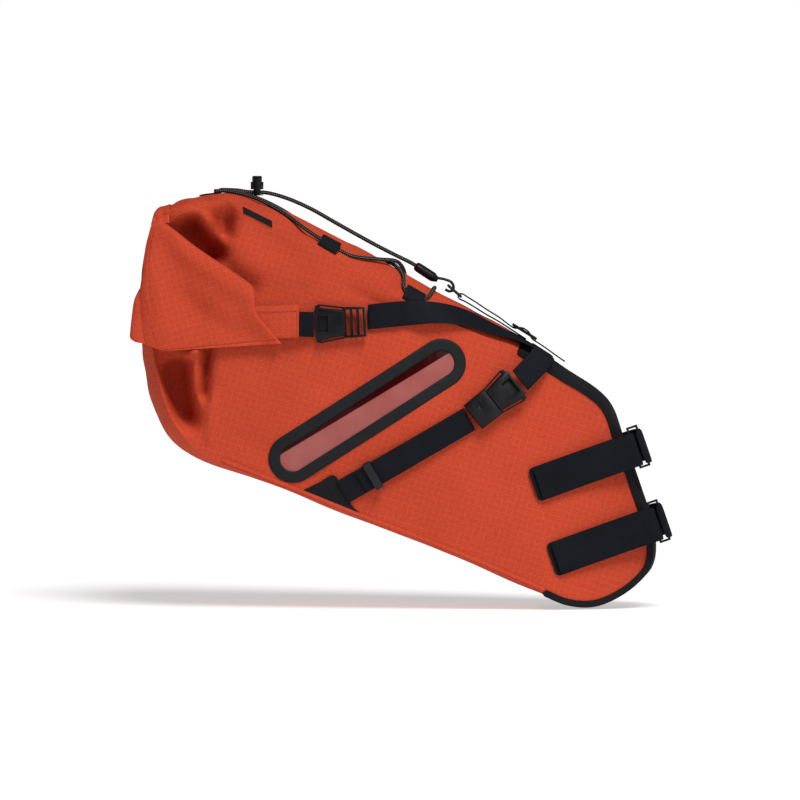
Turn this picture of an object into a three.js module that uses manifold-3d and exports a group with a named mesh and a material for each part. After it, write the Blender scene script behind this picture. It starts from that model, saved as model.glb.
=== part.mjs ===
// A bikepacking saddle bag: a tapered roll-top pack that hangs behind a bicycle's seatpost.
// Millimetres. +X is the way the bicycle rides, +Z is up, and the bag is in the attitude it has on the
// bicycle. The origin is the middle of the pad that bears on the seatpost, in the bag's plane of symmetry.
// "right" is the -Y side and "left" the +Y side.
import * as THREE from "three";
import { mergeVertices } from "three/addons/utils/BufferGeometryUtils.js";
import Module from "manifold-3d";

const wasm = await Module();
wasm.setup();

// ---- driving dimensions ----
const CLOTH = 1.6; // panel thickness, laminated ripstop
const GAP = 0.4; // clearance between neighbouring pieces
const WEBBING = 25; // webbing width
const WEB = 1.5; // webbing thickness
const LEAN = THREE.MathUtils.degToRad(19); // seatpost's lean from the vertical
const POST_STRAP = 34; // width of the seatpost straps
const CORD_R = 2; // shock cord radius
const WINDOW = { rear: [-351, 33.5], front: [-202.5, 128.5], outer: 24.5, inner: 13, lap: 4 };
const ROLL = { low: 151, high: 196, thick: 15, top: -502, foot: -505.5 }; // the rolled mouth across the rear

// Seams that the side panels are sewn along, from the rear to the nose. Each row: bottom seam x, z; top seam x, z;
// half width at the seams; swell of the side; pinch of the side; crown of the top; sag of the bottom.
const STATIONS = [
  [-492, 145, -483, 277, 64, 0, 34, 3, 8],
  [-488, 122, -472, 283, 65, 2, 28, 3, 9],
  [-481, 94, -456, 288, 66, 4, 18, 4, 11],
  [-469, 67, -434, 291, 67, 6, 8, 5, 11],
  [-446, 41, -413, 290, 68, 7, 2, 7, 7],
  [-394, 18, -364, 268, 68, 8, 0, 12, 5],
  [-334, -6, -307, 234.5, 67, 9, 0, 16, 5],
  [-274, -30, -250, 196, 64, 10, 0, 23, 5],
  [-214, -53, -204, 174, 58, 10, 0, 20, 5],
  [-154, -78, -158, 154, 50, 9, 0, 17, 5],
  [-99, -102, -126, 139, 43, 8, 0, 13, 5],
  [-75, -112, -84, 114, 36, 5, 0, 10, 5],
  [-51, -114, -41, 84, 30, 3, 0, 9, 5],
  [-30, -107, -27, 50, 27, 2, 0, 9, 4],
  [-8, -92, -11, 4, 25, 1, 0, 9, 5],
  [5, -75, 6, -48, 24, 0, 0, 8, 7],
];
const LAST = STATIONS.length - 1;
const NOSE_TOP = 10; // station where the black nose panel starts on top
const NOSE_BOTTOM = 10; // and where it ends underneath

const vec = (x, y, z) => new THREE.Vector3(x, y, z);
const smooth = (points) => new THREE.CatmullRomCurve3(points);
const lerp = THREE.MathUtils.lerp;
const bottomSeam = smooth(STATIONS.map((s) => vec(s[0], 0, s[1])));
const topSeam = smooth(STATIONS.map((s) => vec(s[2], 0, s[3])));
const girth = smooth(STATIONS.map((s) => vec(s[4], s[5], s[6]))); // half width, swell, pinch
const domes = smooth(STATIONS.map((s, i) => vec(i, s[7], s[8]))); // crown and sag

// ---- the bag's surfaces ----

// Seam parameter t and height share v of a point x, z of the side view.
function locate(x, z) {
  let lo = 0;
  let hi = 1;
  for (let i = 0; i < 40; i++) {
    const t = (lo + hi) / 2;
    const b = bottomSeam.getPoint(t);
    const a = topSeam.getPoint(t).sub(b);
    if (a.x * (z - b.z) - a.z * (x - b.x) < 0) lo = t;
    else hi = t;
  }
  const b = bottomSeam.getPoint(lo);
  const a = topSeam.getPoint(lo).sub(b);
  return [lo, ((x - b.x) * a.x + (z - b.z) * a.z) / a.lengthSq()];
}

// Distance of the side's outer face from the plane of symmetry, at seam parameter t and height share v.
function reach(t, v) {
  const g = girth.getPoint(t);
  const arch = Math.sin(Math.PI * Math.min(Math.max(v, 0), 1));
  return g.x + g.y * arch - g.z * arch * arch;
}

const reachAt = (x, z) => reach(...locate(x, z));

// A point of the side panel: t along the seams, v up from the bottom seam, out from the surface by lift.
function sidePoint(side, t, v, lift) {
  const p = bottomSeam.getPoint(t).lerp(topSeam.getPoint(t), v);
  return vec(p.x, side * (reach(t, v) + lift), p.z);
}

// A point of a panel that bridges the two sides along a seam curve: q runs -1 to 1 across.
function bridgePoint(seam, t, q, half, crown, lift) {
  const p = seam.getPoint(t);
  const along = seam.getTangent(t);
  const out = crown * (1 - q * q) + lift;
  return vec(p.x - along.z * out, q * half, p.z + along.x * out);
}

// Half width of the panels between the sides, a little less where the sides are pinched.
function insideHalf(t) {
  const g = girth.getPoint(t);
  return g.x - CLOTH - GAP - g.z / 20;
}

function topPoint(station, q, lift) {
  const t = station / LAST;
  return bridgePoint(topSeam, t, q, insideHalf(t), domes.getPoint(t).y, lift);
}

function bottomPoint(station, q, lift) {
  const t = station / LAST;
  return bridgePoint(bottomSeam, t, q, insideHalf(t), -domes.getPoint(t).z, -lift);
}

// ---- solids ----

// A closed sheet between the faces outer(u, v) and inner(u, v), for u and v from 0 to 1.
function sheet(outer, inner, nu, nv) {
  const positions = [];
  const index = [];
  const row = nv + 1;
  const layer = (nu + 1) * row;
  for (const face of [outer, inner])
    for (let i = 0; i <= nu; i++)
      for (let j = 0; j <= nv; j++) positions.push(...face(i / nu, j / nv).toArray());
  const quad = (a, b, c, d) => index.push(a, b, c, a, c, d);
  for (let i = 0; i < nu; i++)
    for (let j = 0; j < nv; j++) {
      const a = i * row + j;
      quad(a, a + row, a + row + 1, a + 1);
      quad(layer + a + 1, layer + a + row + 1, layer + a + row, layer + a);
    }
  const rim = [];
  for (let i = 0; i < nu; i++) rim.push(i * row);
  for (let j = 0; j < nv; j++) rim.push(nu * row + j);
  for (let i = nu; i > 0; i--) rim.push(i * row + nv);
  for (let j = nv; j > 0; j--) rim.push(j);
  rim.forEach((a, i) => {
    const b = rim[(i + 1) % rim.length];
    quad(b, a, layer + a, layer + b);
  });
  return facingOut(positions, index);
}

// Turns the faces round if they point inwards.
function facingOut(positions, index) {
  let volume = 0;
  const at = (i) => vec(...positions.slice(3 * i, 3 * i + 3));
  for (let i = 0; i < index.length; i += 3)
    volume += at(index[i]).dot(at(index[i + 1]).cross(at(index[i + 2])));
  if (volume < 0) index.reverse();
  const made = new THREE.BufferGeometry();
  made.setAttribute("position", new THREE.Float32BufferAttribute(positions, 3));
  made.setIndex(index);
  return made;
}

// A strap along a smooth path: across gives its width direction at each point of the path.
function ribbon(path, across, width, thickness, steps, columns = 1) {
  const line = smooth(path);
  const side = smooth(across);
  const face = (level) => (u, v) => {
    const w = side.getPoint(u).normalize();
    const out = line.getTangent(u).cross(w).normalize();
    return line.getPoint(u).addScaledVector(w, (v - 0.5) * width).addScaledVector(out, level);
  };
  return sheet(face(thickness / 2), face(-thickness / 2), steps, columns);
}

// A strap over a side panel. Rows hold x, z and the height above the panel; its ends may fold back on themselves.
// fixed gives the distance from the plane of symmetry instead, by a share that runs from 0 to 1.
function draped(side, rows, along, width, thickness, steps, fixed = () => [0, 0]) {
  const line = smooth(rows.map(([x, z, lift]) => vec(x, lift, z)));
  const face = (level) => (u, v) => {
    const p = line.getPoint(u);
    const t = line.getTangent(u);
    const run = t.x * along[0] + t.z * along[1];
    const size = Math.hypot(run, t.y);
    const w = (v - 0.5) * width;
    const back = (-t.y / size) * level;
    const x = p.x - along[1] * w + along[0] * back;
    const z = p.z + along[0] * w + along[1] * back;
    const [share, distance] = fixed(u);
    const base = lerp(reachAt(x, z), distance, share);
    return vec(x, side * (base + p.y + (run / size) * level), z);
  };
  return sheet(face(thickness / 2), face(-thickness / 2), steps, 3);
}

// A flat plate with holes: outline and holes are lists of [p, q], pushed from depth low to high.
function plate(outline, holes, low, high) {
  const blank = prism(outline, low, high);
  return holes.length ? cut(blank, ...holes.map((hole) => prism(hole, low - 1, high + 1))) : blank;
}

function prism(outline, low, high) {
  const shape = new THREE.Shape(outline.map(([p, q]) => new THREE.Vector2(p, q)));
  return new THREE.ExtrudeGeometry(shape, { depth: high - low, bevelEnabled: false, steps: 1 }).translate(0, 0, low);
}

const box = (p0, p1, q0, q1) => [[p0, q0], [p1, q0], [p1, q1], [p0, q1]];

// A capsule's outline round two centres.
function capsule([x0, z0], [x1, z1], radius, arcSteps = 8, straightSteps = 1) {
  const turn = Math.atan2(z1 - z0, x1 - x0);
  const points = [];
  const half = (cx, cz, start, nx, nz) => {
    for (let i = 0; i <= arcSteps; i++) {
      const a = start + (Math.PI * i) / arcSteps;
      points.push([cx + radius * Math.cos(a), cz + radius * Math.sin(a)]);
    }
    const [px, pz] = points[points.length - 1];
    for (let i = 1; i < straightSteps; i++) {
      const share = i / straightSteps;
      points.push([px + (nx - cx) * share, pz + (nz - cz) * share]);
    }
  };
  half(x1, z1, turn - Math.PI / 2, x0, z0);
  half(x0, z0, turn + Math.PI / 2, x1, z1);
  return points;
}

// A band round a capsule that follows a side panel, from one distance off the capsule's core to another.
function capsuleBand(side, inner, outer, lift, thickness) {
  const { rear, front } = WINDOW;
  const wide = capsule(rear, front, outer, 8, 14);
  const narrow = capsule(rear, front, inner, 8, 14);
  const face = (level) => (u, v) => {
    const i = Math.round(u * wide.length);
    const x = lerp(narrow[i][0], wide[i][0], v);
    const z = lerp(narrow[i][1], wide[i][1], v);
    return vec(x, side * (reachAt(x, z) + level), z);
  };
  return loopSheet(face(lift + thickness), face(lift), wide.length, 2);
}

// A closed sheet whose u runs once round a loop.
function loopSheet(outer, inner, nu, nv) {
  const positions = [];
  const index = [];
  const row = nv + 1;
  const layer = nu * row;
  for (const face of [outer, inner])
    for (let i = 0; i < nu; i++)
      for (let j = 0; j <= nv; j++) positions.push(...face(i / nu, j / nv).toArray());
  const quad = (a, b, c, d) => index.push(a, b, c, a, c, d);
  for (let i = 0; i < nu; i++) {
    const here = i * row;
    const next = ((i + 1) % nu) * row;
    for (let j = 0; j < nv; j++) {
      quad(here + j, next + j, next + j + 1, here + j + 1);
      quad(layer + here + j + 1, layer + next + j + 1, layer + next + j, layer + here + j);
    }
    quad(next, here, layer + here, layer + next);
    quad(here + nv, next + nv, layer + next + nv, layer + here + nv);
  }
  return facingOut(positions, index);
}

// A round bar along a smooth path, a regular polygon in section.
function rod(path, radius, steps, sides = 8, closed = false) {
  const section = new THREE.Shape();
  for (let i = 0; i < sides; i++) {
    const a = (2 * Math.PI * i) / sides;
    section[i ? "lineTo" : "moveTo"](radius * Math.cos(a), radius * Math.sin(a));
  }
  const line = new THREE.CatmullRomCurve3(path, closed);
  return new THREE.ExtrudeGeometry(section, { steps, extrudePath: line, bevelEnabled: false });
}

// Places a geometry made in p, q and depth so that p runs along, depth runs out, at a given point.
function place(geometry, at, along, out) {
  const q = out.clone().cross(along).normalize();
  const basis = new THREE.Matrix4().makeBasis(along.clone().normalize(), q, out.clone().normalize());
  return geometry.applyMatrix4(basis.setPosition(at));
}

// ---- joining and cutting ----
function solid(geometry) {
  const bare = (geometry.index ? geometry.toNonIndexed() : geometry).clone();
  for (const name of Object.keys(bare.attributes)) if (name !== "position") bare.deleteAttribute(name);
  const merged = mergeVertices(bare, 1e-4);
  return new wasm.Manifold(
    new wasm.Mesh({
      numProp: 3,
      vertProperties: merged.attributes.position.array,
      triVerts: new Uint32Array(merged.index.array),
    }),
  );
}

function geometryOf(manifold) {
  const mesh = manifold.getMesh();
  const made = new THREE.BufferGeometry();
  made.setAttribute("position", new THREE.Float32BufferAttribute(mesh.vertProperties, 3));
  made.setIndex(new THREE.Uint32BufferAttribute(mesh.triVerts, 1));
  return made;
}

const cut = (a, ...tools) => geometryOf(tools.reduce((m, tool) => m.subtract(solid(tool)), solid(a)));
const join = (a, ...others) => geometryOf(others.reduce((m, other) => m.add(solid(other)), solid(a)));

// ---- materials ----
const finish = (color, roughness, metalness = 0) => new THREE.MeshStandardMaterial({ color, roughness, metalness });
const ORANGE = finish(0xc8452a, 0.85);
const BLACK_CLOTH = finish(0x17181b, 0.8);
const BLACK_WEB = finish(0x14161a, 0.75);
const BLACK_PLASTIC = finish(0x121316, 0.45);
const RUBBER = finish(0x1d1f22, 0.7);
const FILM = finish(0x7a3a36, 0.2);
const BOARD = finish(0x202225, 0.6);
const CORD = finish(0x0e0e10, 0.85);
const WIRE = finish(0x1a1b1e, 0.4, 0.6);
const STEEL = finish(0x9a9da1, 0.3, 1);

const group = new THREE.Group();

function add(name, geometry, material) {
  const mesh = new THREE.Mesh(geometry, material);
  mesh.name = name;
  group.add(mesh);
}

const SIDES = [["right", -1], ["left", 1]];

// ---- sewn shell ----
function sidePanels() {
  for (const [name, side] of SIDES) {
    const face = (lift) => (u, v) => sidePoint(side, u, v, lift);
    const hole = capsule(WINDOW.rear, WINDOW.front, WINDOW.inner + WINDOW.lap);
    const punch = plate(hole, [], 40, 120).rotateX(Math.PI / 2);
    if (side > 0) punch.translate(0, 160, 0);
    add(`side_panel_${name}`, cut(sheet(face(0), face(-CLOTH), 30, 7), punch), ORANGE);
    const band = capsuleBand(side, WINDOW.inner, WINDOW.outer, 0.6, 1);
    add(`window_frame_${name}`, band, RUBBER);
    add(`window_film_${name}`, windowFilm(side), FILM);
  }
}

// The clear film fills the cut-out, behind the frame and flush with the panel.
function windowFilm(side) {
  const radius = WINDOW.inner + WINDOW.lap - 1;
  const { rear, front } = WINDOW;
  const angle = Math.atan2(front[1] - rear[1], front[0] - rear[0]);
  const length = Math.hypot(front[0] - rear[0], front[1] - rear[1]);
  const face = (lift) => (u, v) => {
    const a = -radius + u * (length + 2 * radius);
    const past = Math.max(-a, a - length, 0);
    const half = Math.sqrt(Math.max(radius * radius - past * past, 9));
    const b = (2 * v - 1) * half;
    const x = rear[0] + a * Math.cos(angle) - b * Math.sin(angle);
    const z = rear[1] + a * Math.sin(angle) + b * Math.cos(angle);
    return vec(x, side * (reachAt(x, z) + lift), z);
  };
  return sheet(face(-0.4), face(-1.2), 22, 2);
}

function bridgePanels() {
  const span = (from, to, point, low, high, nu) => {
    const face = (lift) => (u, v) => point(lerp(from, to, u), 2 * v - 1, lift);
    return sheet(face(high), face(low), nu, 6);
  };
  add("top_panel", span(0.02, NOSE_TOP - 0.04, topPoint, -CLOTH, 0, 20), ORANGE);
  add("bottom_panel", span(0.02, NOSE_BOTTOM - 0.04, bottomPoint, -CLOTH, 0, 22), ORANGE);
  const board = (u, v, lift) => {
    const p = bottomPoint(lerp(3.4, 8.6, u), 2 * v - 1, lift);
    p.y *= 0.86;
    return p;
  };
  const inside = CLOTH + 0.7;
  const face = (lift) => (u, v) => board(u, v, lift);
  add("base_stiffener", sheet(face(-inside), face(-inside - 1.5), 8, 3), BOARD);
}

// The nose runs down the front from the top and back under to the bottom panel.
const noseRows = [
  ...STATIONS.slice(NOSE_TOP).map((s) => [s[2], s[3], s[4], s[7]]),
  ...STATIONS.slice(NOSE_BOTTOM).reverse().map((s) => [s[0], s[1], s[4], s[8]]),
];
const noseSeam = smooth(noseRows.map(([x, z]) => vec(x, 0, z)));
const noseGirth = smooth(noseRows.map(([, , half, crown]) => vec(half, crown, 0)));

function nosePoint(u, q, lift) {
  const g = noseGirth.getPoint(u);
  return bridgePoint(noseSeam, u, q, g.x - CLOTH - GAP, g.y, lift);
}

function nose() {
  const face = (lift) => (u, v) => nosePoint(u, 2 * v - 1, lift);
  const shell = sheet(face(0), face(-CLOTH), 26, 6);
  const pad = seatpostPad();
  const bed = placeOnPost(plate(box(-50.6, 50.6, -17.1, 17.1), [], -30, 4));
  add("nose_panel", cut(shell, bed), BLACK_CLOTH);
  add("seatpost_pad", pad, RUBBER);
  const brace = placeOnPost(plate(box(-46, 46, -14, 14), [box(-30, -8, -5, 5), box(8, 30, -5, 5)], -9.4, -7.4));
  add("nose_stiffener", brace, BOARD);
}

// The seatpost's own axes: up along the post, and forward square to it.
const POST_UP = vec(-Math.sin(LEAN), 0, Math.cos(LEAN));
const POST_FORWARD = vec(Math.cos(LEAN), 0, Math.sin(LEAN));
const postPoint = (forward, y, up) =>
  vec(0, y, 0).addScaledVector(POST_FORWARD, forward).addScaledVector(POST_UP, up);

function placeOnPost(geometry) {
  return place(geometry, vec(0, 0, 0), POST_UP, POST_FORWARD);
}

// A flat grip pad, set in an opening of the nose panel and ribbed across.
function seatpostPad() {
  const slab = plate(box(-50, 50, -16.5, 16.5), [], -6.5, 0);
  const grooves = [-36, -24, 24, 36].map((p) => plate(box(p - 1.5, p + 1.5, -20, 20), [], -1.2, 3));
  return placeOnPost(cut(slab, ...grooves));
}

// ---- seatpost straps: a strap from the left side goes round the post to a ring, and a flap folds back from it ----
const POST_STRAPS = [["upper", 41, -97.5, 0], ["lower", -36.5, -105, -5]]; // height, tail end, set back
const RING = { rear: 5, front: 14.5, y: 36, low: -18.7, high: 22.5, wire: 2.2 };

function postStraps() {
  for (const [name, up, tail, back] of POST_STRAPS) {
    const anchor = strapRows(up, [[tail - 5, 1.4], [tail * 0.7, 1.4], [tail * 0.4, 1.4], [-22, 2], [-10, 3.5], [back - 1, 5]]);
    add(`post_anchor_${name}`, postRibbon(-1, anchor, 1.4), BLACK_WEB);
    const corner = (forward, u) => postPoint(forward + back, -RING.y, up + u);
    const ring = [
      corner(RING.rear, RING.low), corner(RING.front, RING.low),
      corner(RING.front, RING.high), corner(RING.rear, RING.high),
    ];
    add(`post_ring_${name}`, squareRing(ring, RING.wire), BLACK_PLASTIC);
    add(`post_loop_${name}`, postLoop(up, back), BLACK_WEB);
    add(`post_flap_${name}`, postFlap(up, tail, back), BLACK_WEB);
  }
}

const strapRows = (up, rows) =>
  rows.map(([forward, lift]) => {
    const p = postPoint(forward, 0, up);
    return [p.x, p.z, lift];
  });

const postRibbon = (side, rows, thickness, steps = 10, fixed) =>
  draped(side, rows, [Math.cos(LEAN), Math.sin(LEAN)], POST_STRAP, thickness, steps, fixed);

// Round the front of the post from the left side, and over the front bar of the ring.
function postLoop(up, back) {
  const hug = (forward, lift) => {
    const p = postPoint(forward, 0, up);
    return postPoint(forward, reachAt(p.x, p.z) + lift, up);
  };
  const path = [hug(-62, 3), hug(-36, 3), hug(-16, 3.6), postPoint(0, 29.5, up), postPoint(10 + back, 24, up)];
  const front = [[15.4, 12], [17, 0], [17.3, -16], [17.5, -29], [17.4, -35.6], [15.6, -39.1], [13.4, -39.8], [11.6, -39.6]];
  path.push(...front.map(([forward, y]) => postPoint(forward + back, y, up)));
  return ribbon(path, path.map(() => POST_UP), POST_STRAP, 1.6, 26);
}

// From inside the ring round its rear bar, then back over the side.
function postFlap(up, tail, back) {
  const path = [[8, 34.8], [8.2, 36.6], [7.4, 38.2], [5, 39.1], [-2, 39.3]];
  const rows = path.map(([forward, y]) => [forward + back, y - 26]);
  rows.push([-14, 12.6], [tail * 0.35, 8.2], [tail * 0.6, 5.4], [tail * 0.85, 4.2], [tail, 4]);
  const share = (u) => [Math.min(Math.max((0.62 - u) / 0.2, 0), 1), 26];
  return postRibbon(-1, strapRows(up, rows), 2, 20, share);
}

// A rectangular ring of square wire through four corners.
function squareRing(corners, wire) {
  const bars = corners.map((from, i) => {
    const to = corners[(i + 1) % 4];
    const along = to.clone().sub(from);
    const half = wire / 2;
    const bar = plate(box(-half, along.length() + half, -half, half), [], -half, half);
    return place(bar, from, along, vec(0, 1, 0));
  });
  return join(...bars);
}

// ---- V buckles ----
// The frame lies flat on the strap and the hook drops on it from outside. p runs from the hook to the strap.
function buckleFrame(length) {
  const flare = [[-23, -18], [-19, -19.5], [6, -15.5]];
  const outline = [...flare, [length, -15], [length, 15], ...flare.map(([p, q]) => [p, -q]).reverse()];
  const armGap = (s) => [[-18, s * 17.8], [4, s * 14.2], [4, s * 12.8], [-18, s * 16.2]];
  const slots = [7.5, 14, 20.5].filter((p) => p + 4 < length).map((p) => box(p, p + 3.6, -12.8, 12.8));
  return plate(outline, [armGap(1), armGap(-1), ...slots], 0, 3);
}

function buckleHook() {
  const outline = [[-24, -14.5], [-20, -16.5], [6, -11.2], [6, 11.2], [-20, 16.5], [-24, 14.5]];
  return plate(outline, [box(-21, -11, -8, 8)], 3.4, 6.8);
}

// A rail buckle has a raised cover over its strap lock, with a small finger notch.
const buckleCover = () =>
  cut(prism([[7, -14.5], [25, -14.5], [32, -11], [32, 11], [25, 14.5], [7, 14.5]], 2.5, 6.8),
    prism([[18, -10], [24, -10], [24, -5], [21, -5], [21, -2], [18, -2]], 5.2, 8));

const SIDE_BUCKLE = { at: [-305, 169.5], turn: 0.05, lift: 3.6 };
const RAIL_BUCKLE = { at: [-146.5, 94], turn: 0.67, lift: 5.6 };

function buckles() {
  for (const [name, side] of SIDES) {
    const at = (buckle) => vec(buckle.at[0], side * (reachAt(...buckle.at) + buckle.lift), buckle.at[1]);
    const along = vec(Math.cos(SIDE_BUCKLE.turn), 0, Math.sin(SIDE_BUCKLE.turn));
    const seat = (made) => place(made, at(SIDE_BUCKLE), along, vec(0, side, 0));
    add(`side_buckle_frame_${name}`, seat(buckleFrame(27)), BLACK_PLASTIC);
    add(`side_buckle_hook_${name}`, seat(buckleHook()), BLACK_PLASTIC);

    const { turn } = RAIL_BUCKLE;
    const back = vec(-Math.cos(turn), side * 0.17, -Math.sin(turn)).normalize();
    const out = vec(0.1, side, 0.1);
    out.addScaledVector(back, -out.dot(back)).normalize();
    const rest = (made) => place(made, at(RAIL_BUCKLE), back, out);
    add(`rail_buckle_frame_${name}`, rest(join(buckleFrame(32), buckleCover())), BLACK_PLASTIC);
    add(`rail_buckle_hook_${name}`, rest(buckleHook()), BLACK_PLASTIC);
  }
}

// ---- webbing on the sides ----
// The rail strap is sewn at its lower end, runs to its buckle, and its tail comes back on top of it.
const RAIL = { from: [-301, 0], to: [-174.5, 73], tail: 0.14, lift: 2.7 };
const RAIL_ALONG = vec(RAIL.to[0] - RAIL.from[0], 0, RAIL.to[1] - RAIL.from[1]).normalize();
const TOP_FOLD = [[-110.5, 142], [-89, 128]];
const PATCH = [[-344, -1], [-310, 16.5], [-292, -14], [-280, -26], [-312, -14]];

function railRows() {
  const at = (share, lift) => [lerp(RAIL.from[0], RAIL.to[0], share), lerp(RAIL.from[1], RAIL.to[1], share), lift];
  const base = [0, 0.2, 0.4, 0.6, 0.8, 0.97].map((share) => at(share, RAIL.lift));
  const turn = [at(0.995, RAIL.lift + 1.1)];
  const tail = [0.97, 0.8, 0.6, 0.4, RAIL.tail].map((share) => at(share, RAIL.lift + 2.2));
  return [...base, ...turn, ...tail];
}

function sideWebbing() {
  for (const [name, side] of SIDES) {
    const patch = prism(PATCH, 30, 120).rotateX(Math.PI / 2);
    if (side > 0) patch.translate(0, 150, 0);
    const skin = (lift) => (u, v) => {
      const x = lerp(-350, -272, u);
      const z = lerp(-32, 24, v);
      return vec(x, side * (reachAt(x, z) + lift), z);
    };
    const cloth = solid(sheet(skin(1.3), skin(0.5), 12, 8)).intersect(solid(patch));
    add(`anchor_patch_${name}`, geometryOf(cloth), BLACK_CLOTH);
    const rail = draped(side, railRows(), [RAIL_ALONG.x, RAIL_ALONG.z], WEBBING, WEB, 34);
    add(`rail_strap_${name}`, rail, BLACK_WEB);
    add(`rail_loop_${name}`, railLoop(side), BLACK_WEB);
    add(`side_strap_${name}`, sideStrap(side), BLACK_WEB);
    add(`keeper_${name}`, keeper(side), RUBBER);
  }
}

// The webbing that goes over a saddle rail: from the top edge of the bag down to the hook.
function railLoop(side) {
  const [a, b] = TOP_FOLD;
  const edge = vec(b[0] - a[0], 0, b[1] - a[1]).normalize();
  const top = vec((a[0] + b[0]) / 2, side * 40, (a[1] + b[1]) / 2);
  const [x, z] = [-123.5, 111.5];
  const low = vec(x, side * (reachAt(...RAIL_BUCKLE.at) + RAIL_BUCKLE.lift + 2.2), z);
  const middle = top.clone().lerp(low, 0.5).add(vec(0, side * 3, 0));
  const lowAcross = vec(Math.sin(RAIL_BUCKLE.turn), 0, -Math.cos(RAIL_BUCKLE.turn));
  const across = [edge, edge.clone().lerp(lowAcross, 0.5), lowAcross];
  return ribbon([top, middle, low], across, WEBBING, WEB, 6);
}

// The closing strap: flat on the side by its buckle, where its end is doubled, then over the top edge to the nose.
function sideStrap(side) {
  const flat = [
    [-243, 178.5, 5.2], [-259, 177, 5.2], [-269, 176, 5], [-273.5, 175.5, 4.7], [-275.5, 175, 3.8],
    [-273.5, 175.5, 2.9], [-269, 176, 2.6], [-254, 177.5, 2.8], [-234, 179, 3.4],
  ];
  const path = flat.map(([x, z, lift]) => vec(x, side * (reachAt(x, z) + lift), z));
  const turned = flat.map(([x]) => Math.max(0, (x + 262) / 28) * 0.2);
  const over = [
    [-216, 179.5, 65, 0.5], [-194, 177.5, 56, 0.75], [-174, 172, 46, 0.9], [-149, 161.5, 36, 1.15],
    [-129, 154, 28, 1.4], [-110, 144, 21.5, 1.52],
  ];
  for (const [x, z, y, turn] of over) {
    path.push(vec(x, side * y, z));
    turned.push(turn);
  }
  const across = turned.map((a) => vec(0, -side * Math.sin(a), Math.cos(a)));
  return ribbon(path, across, WEBBING, WEB, 44);
}

const KEEPER = { share: 0.235, height: 8, wall: 1, inner: 7 };

// A rubber loop round the rail strap and its tail.
function keeper(side) {
  const x = lerp(RAIL.from[0], RAIL.to[0], KEEPER.share);
  const z = lerp(RAIL.from[1], RAIL.to[1], KEEPER.share);
  const slope = (dx, dz) => (side * (reachAt(x + dx, z + dz) - reachAt(x - dx, z - dz))) / (2 * Math.hypot(dx, dz));
  const along = RAIL_ALONG.clone().setY(slope(8 * RAIL_ALONG.x, 8 * RAIL_ALONG.z)).normalize();
  const width = vec(-RAIL_ALONG.z, 0, RAIL_ALONG.x);
  width.y = slope(10 * width.x, 10 * width.z);
  const out = along.clone().cross(width).normalize();
  if (out.y * side < 0) out.negate();
  const w = WEBBING / 2 + 1;
  const t = KEEPER.wall;
  const ring = plate(box(-w - t, w + t, 0, KEEPER.inner + 2 * t), [box(-w, w, t, KEEPER.inner + t)],
    -KEEPER.height / 2, KEEPER.height / 2);
  const across = out.clone().cross(along).normalize();
  const basis = new THREE.Matrix4().makeBasis(across, out, across.clone().cross(out));
  return ring.applyMatrix4(basis.setPosition(vec(x, side * (reachAt(x, z) + 0.4), z)));
}

// ---- the rolled closure ----
const FLAP_HALF = 75; // half width of the flap and the roll
const BACK = [[-488.5, 278], [-495, 253], [-499, 231], [-501.5, 213], [-503, 198.5]]; // outer face, down the rear

function closure() {
  const line = smooth(BACK.map(([x, z]) => vec(x, 0, z)));
  const flap = (depth) => (u, v) => {
    const p = line.getPoint(u);
    const t = line.getTangent(u);
    return vec(p.x - t.z * depth, (2 * v - 1) * FLAP_HALF, p.z + t.x * depth);
  };
  add("closure_flap", sheet(flap(0), flap(2), 8, 2), ORANGE);
  const roll = prism(spiral(), -FLAP_HALF, FLAP_HALF);
  add("closure_roll", place(roll, vec(0, 0, 0), vec(1, 0, 0), vec(0, -1, 0)), ORANGE);
  const tape = [0.12, 0.3, 0.5, 0.7, 0.9].map((u) => flap(u > 0.2 && u < 0.8 ? -2.4 : -1)(u, 0.5));
  add("light_loop", ribbon(tape, tape.map(() => vec(0, 1, 0)), 20, 1.2, 10), BLACK_WEB);
}

// The mouth's cloth rolled on itself: a spiral pulled out upwards, and leaning back at its foot.
function spiral() {
  const turns = 2.25;
  const pitch = 2;
  const cloth = 1.4;
  const radius = ROLL.thick / 2;
  const middle = (ROLL.low + ROLL.high) / 2;
  const stretch = (ROLL.high - ROLL.low) / 2 - radius;
  const steps = 40;
  const at = (share, inset) => {
    const a = Math.PI / 2 + share * turns * 2 * Math.PI;
    const r = radius - pitch * turns * share - inset;
    const pull = Math.min(1, Math.max(-1, Math.sin(a) * 3));
    const z = middle + r * Math.sin(a) + stretch * pull;
    return [lerp(ROLL.foot, ROLL.top, (z - ROLL.low) / (ROLL.high - ROLL.low)) + r * Math.cos(a), z];
  };
  const outer = [];
  const inner = [];
  for (let i = 0; i <= steps; i++) {
    outer.push(at(i / steps, 0));
    inner.unshift(at(i / steps, cloth));
  }
  return [...outer, ...inner];
}

// An ear: the folded corner of the mouth, with the sewn end of the roll standing out of it.
const EAR_FACE = [
  [-488.5, 276], [-447, 245], [-404, 216], [-391, 206], [-388, 201], [-387.5, 180], [-374, 163],
  [-362, 149], [-482, 141], [-487, 145], [-495, 174], [-499, 207], [-498.5, 240],
];
const EAR_TAB = { from: -394, to: -345, low: 153, high: 186.5 };
const EAR_LEVEL = { rear: 80, front: 87 };

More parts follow.
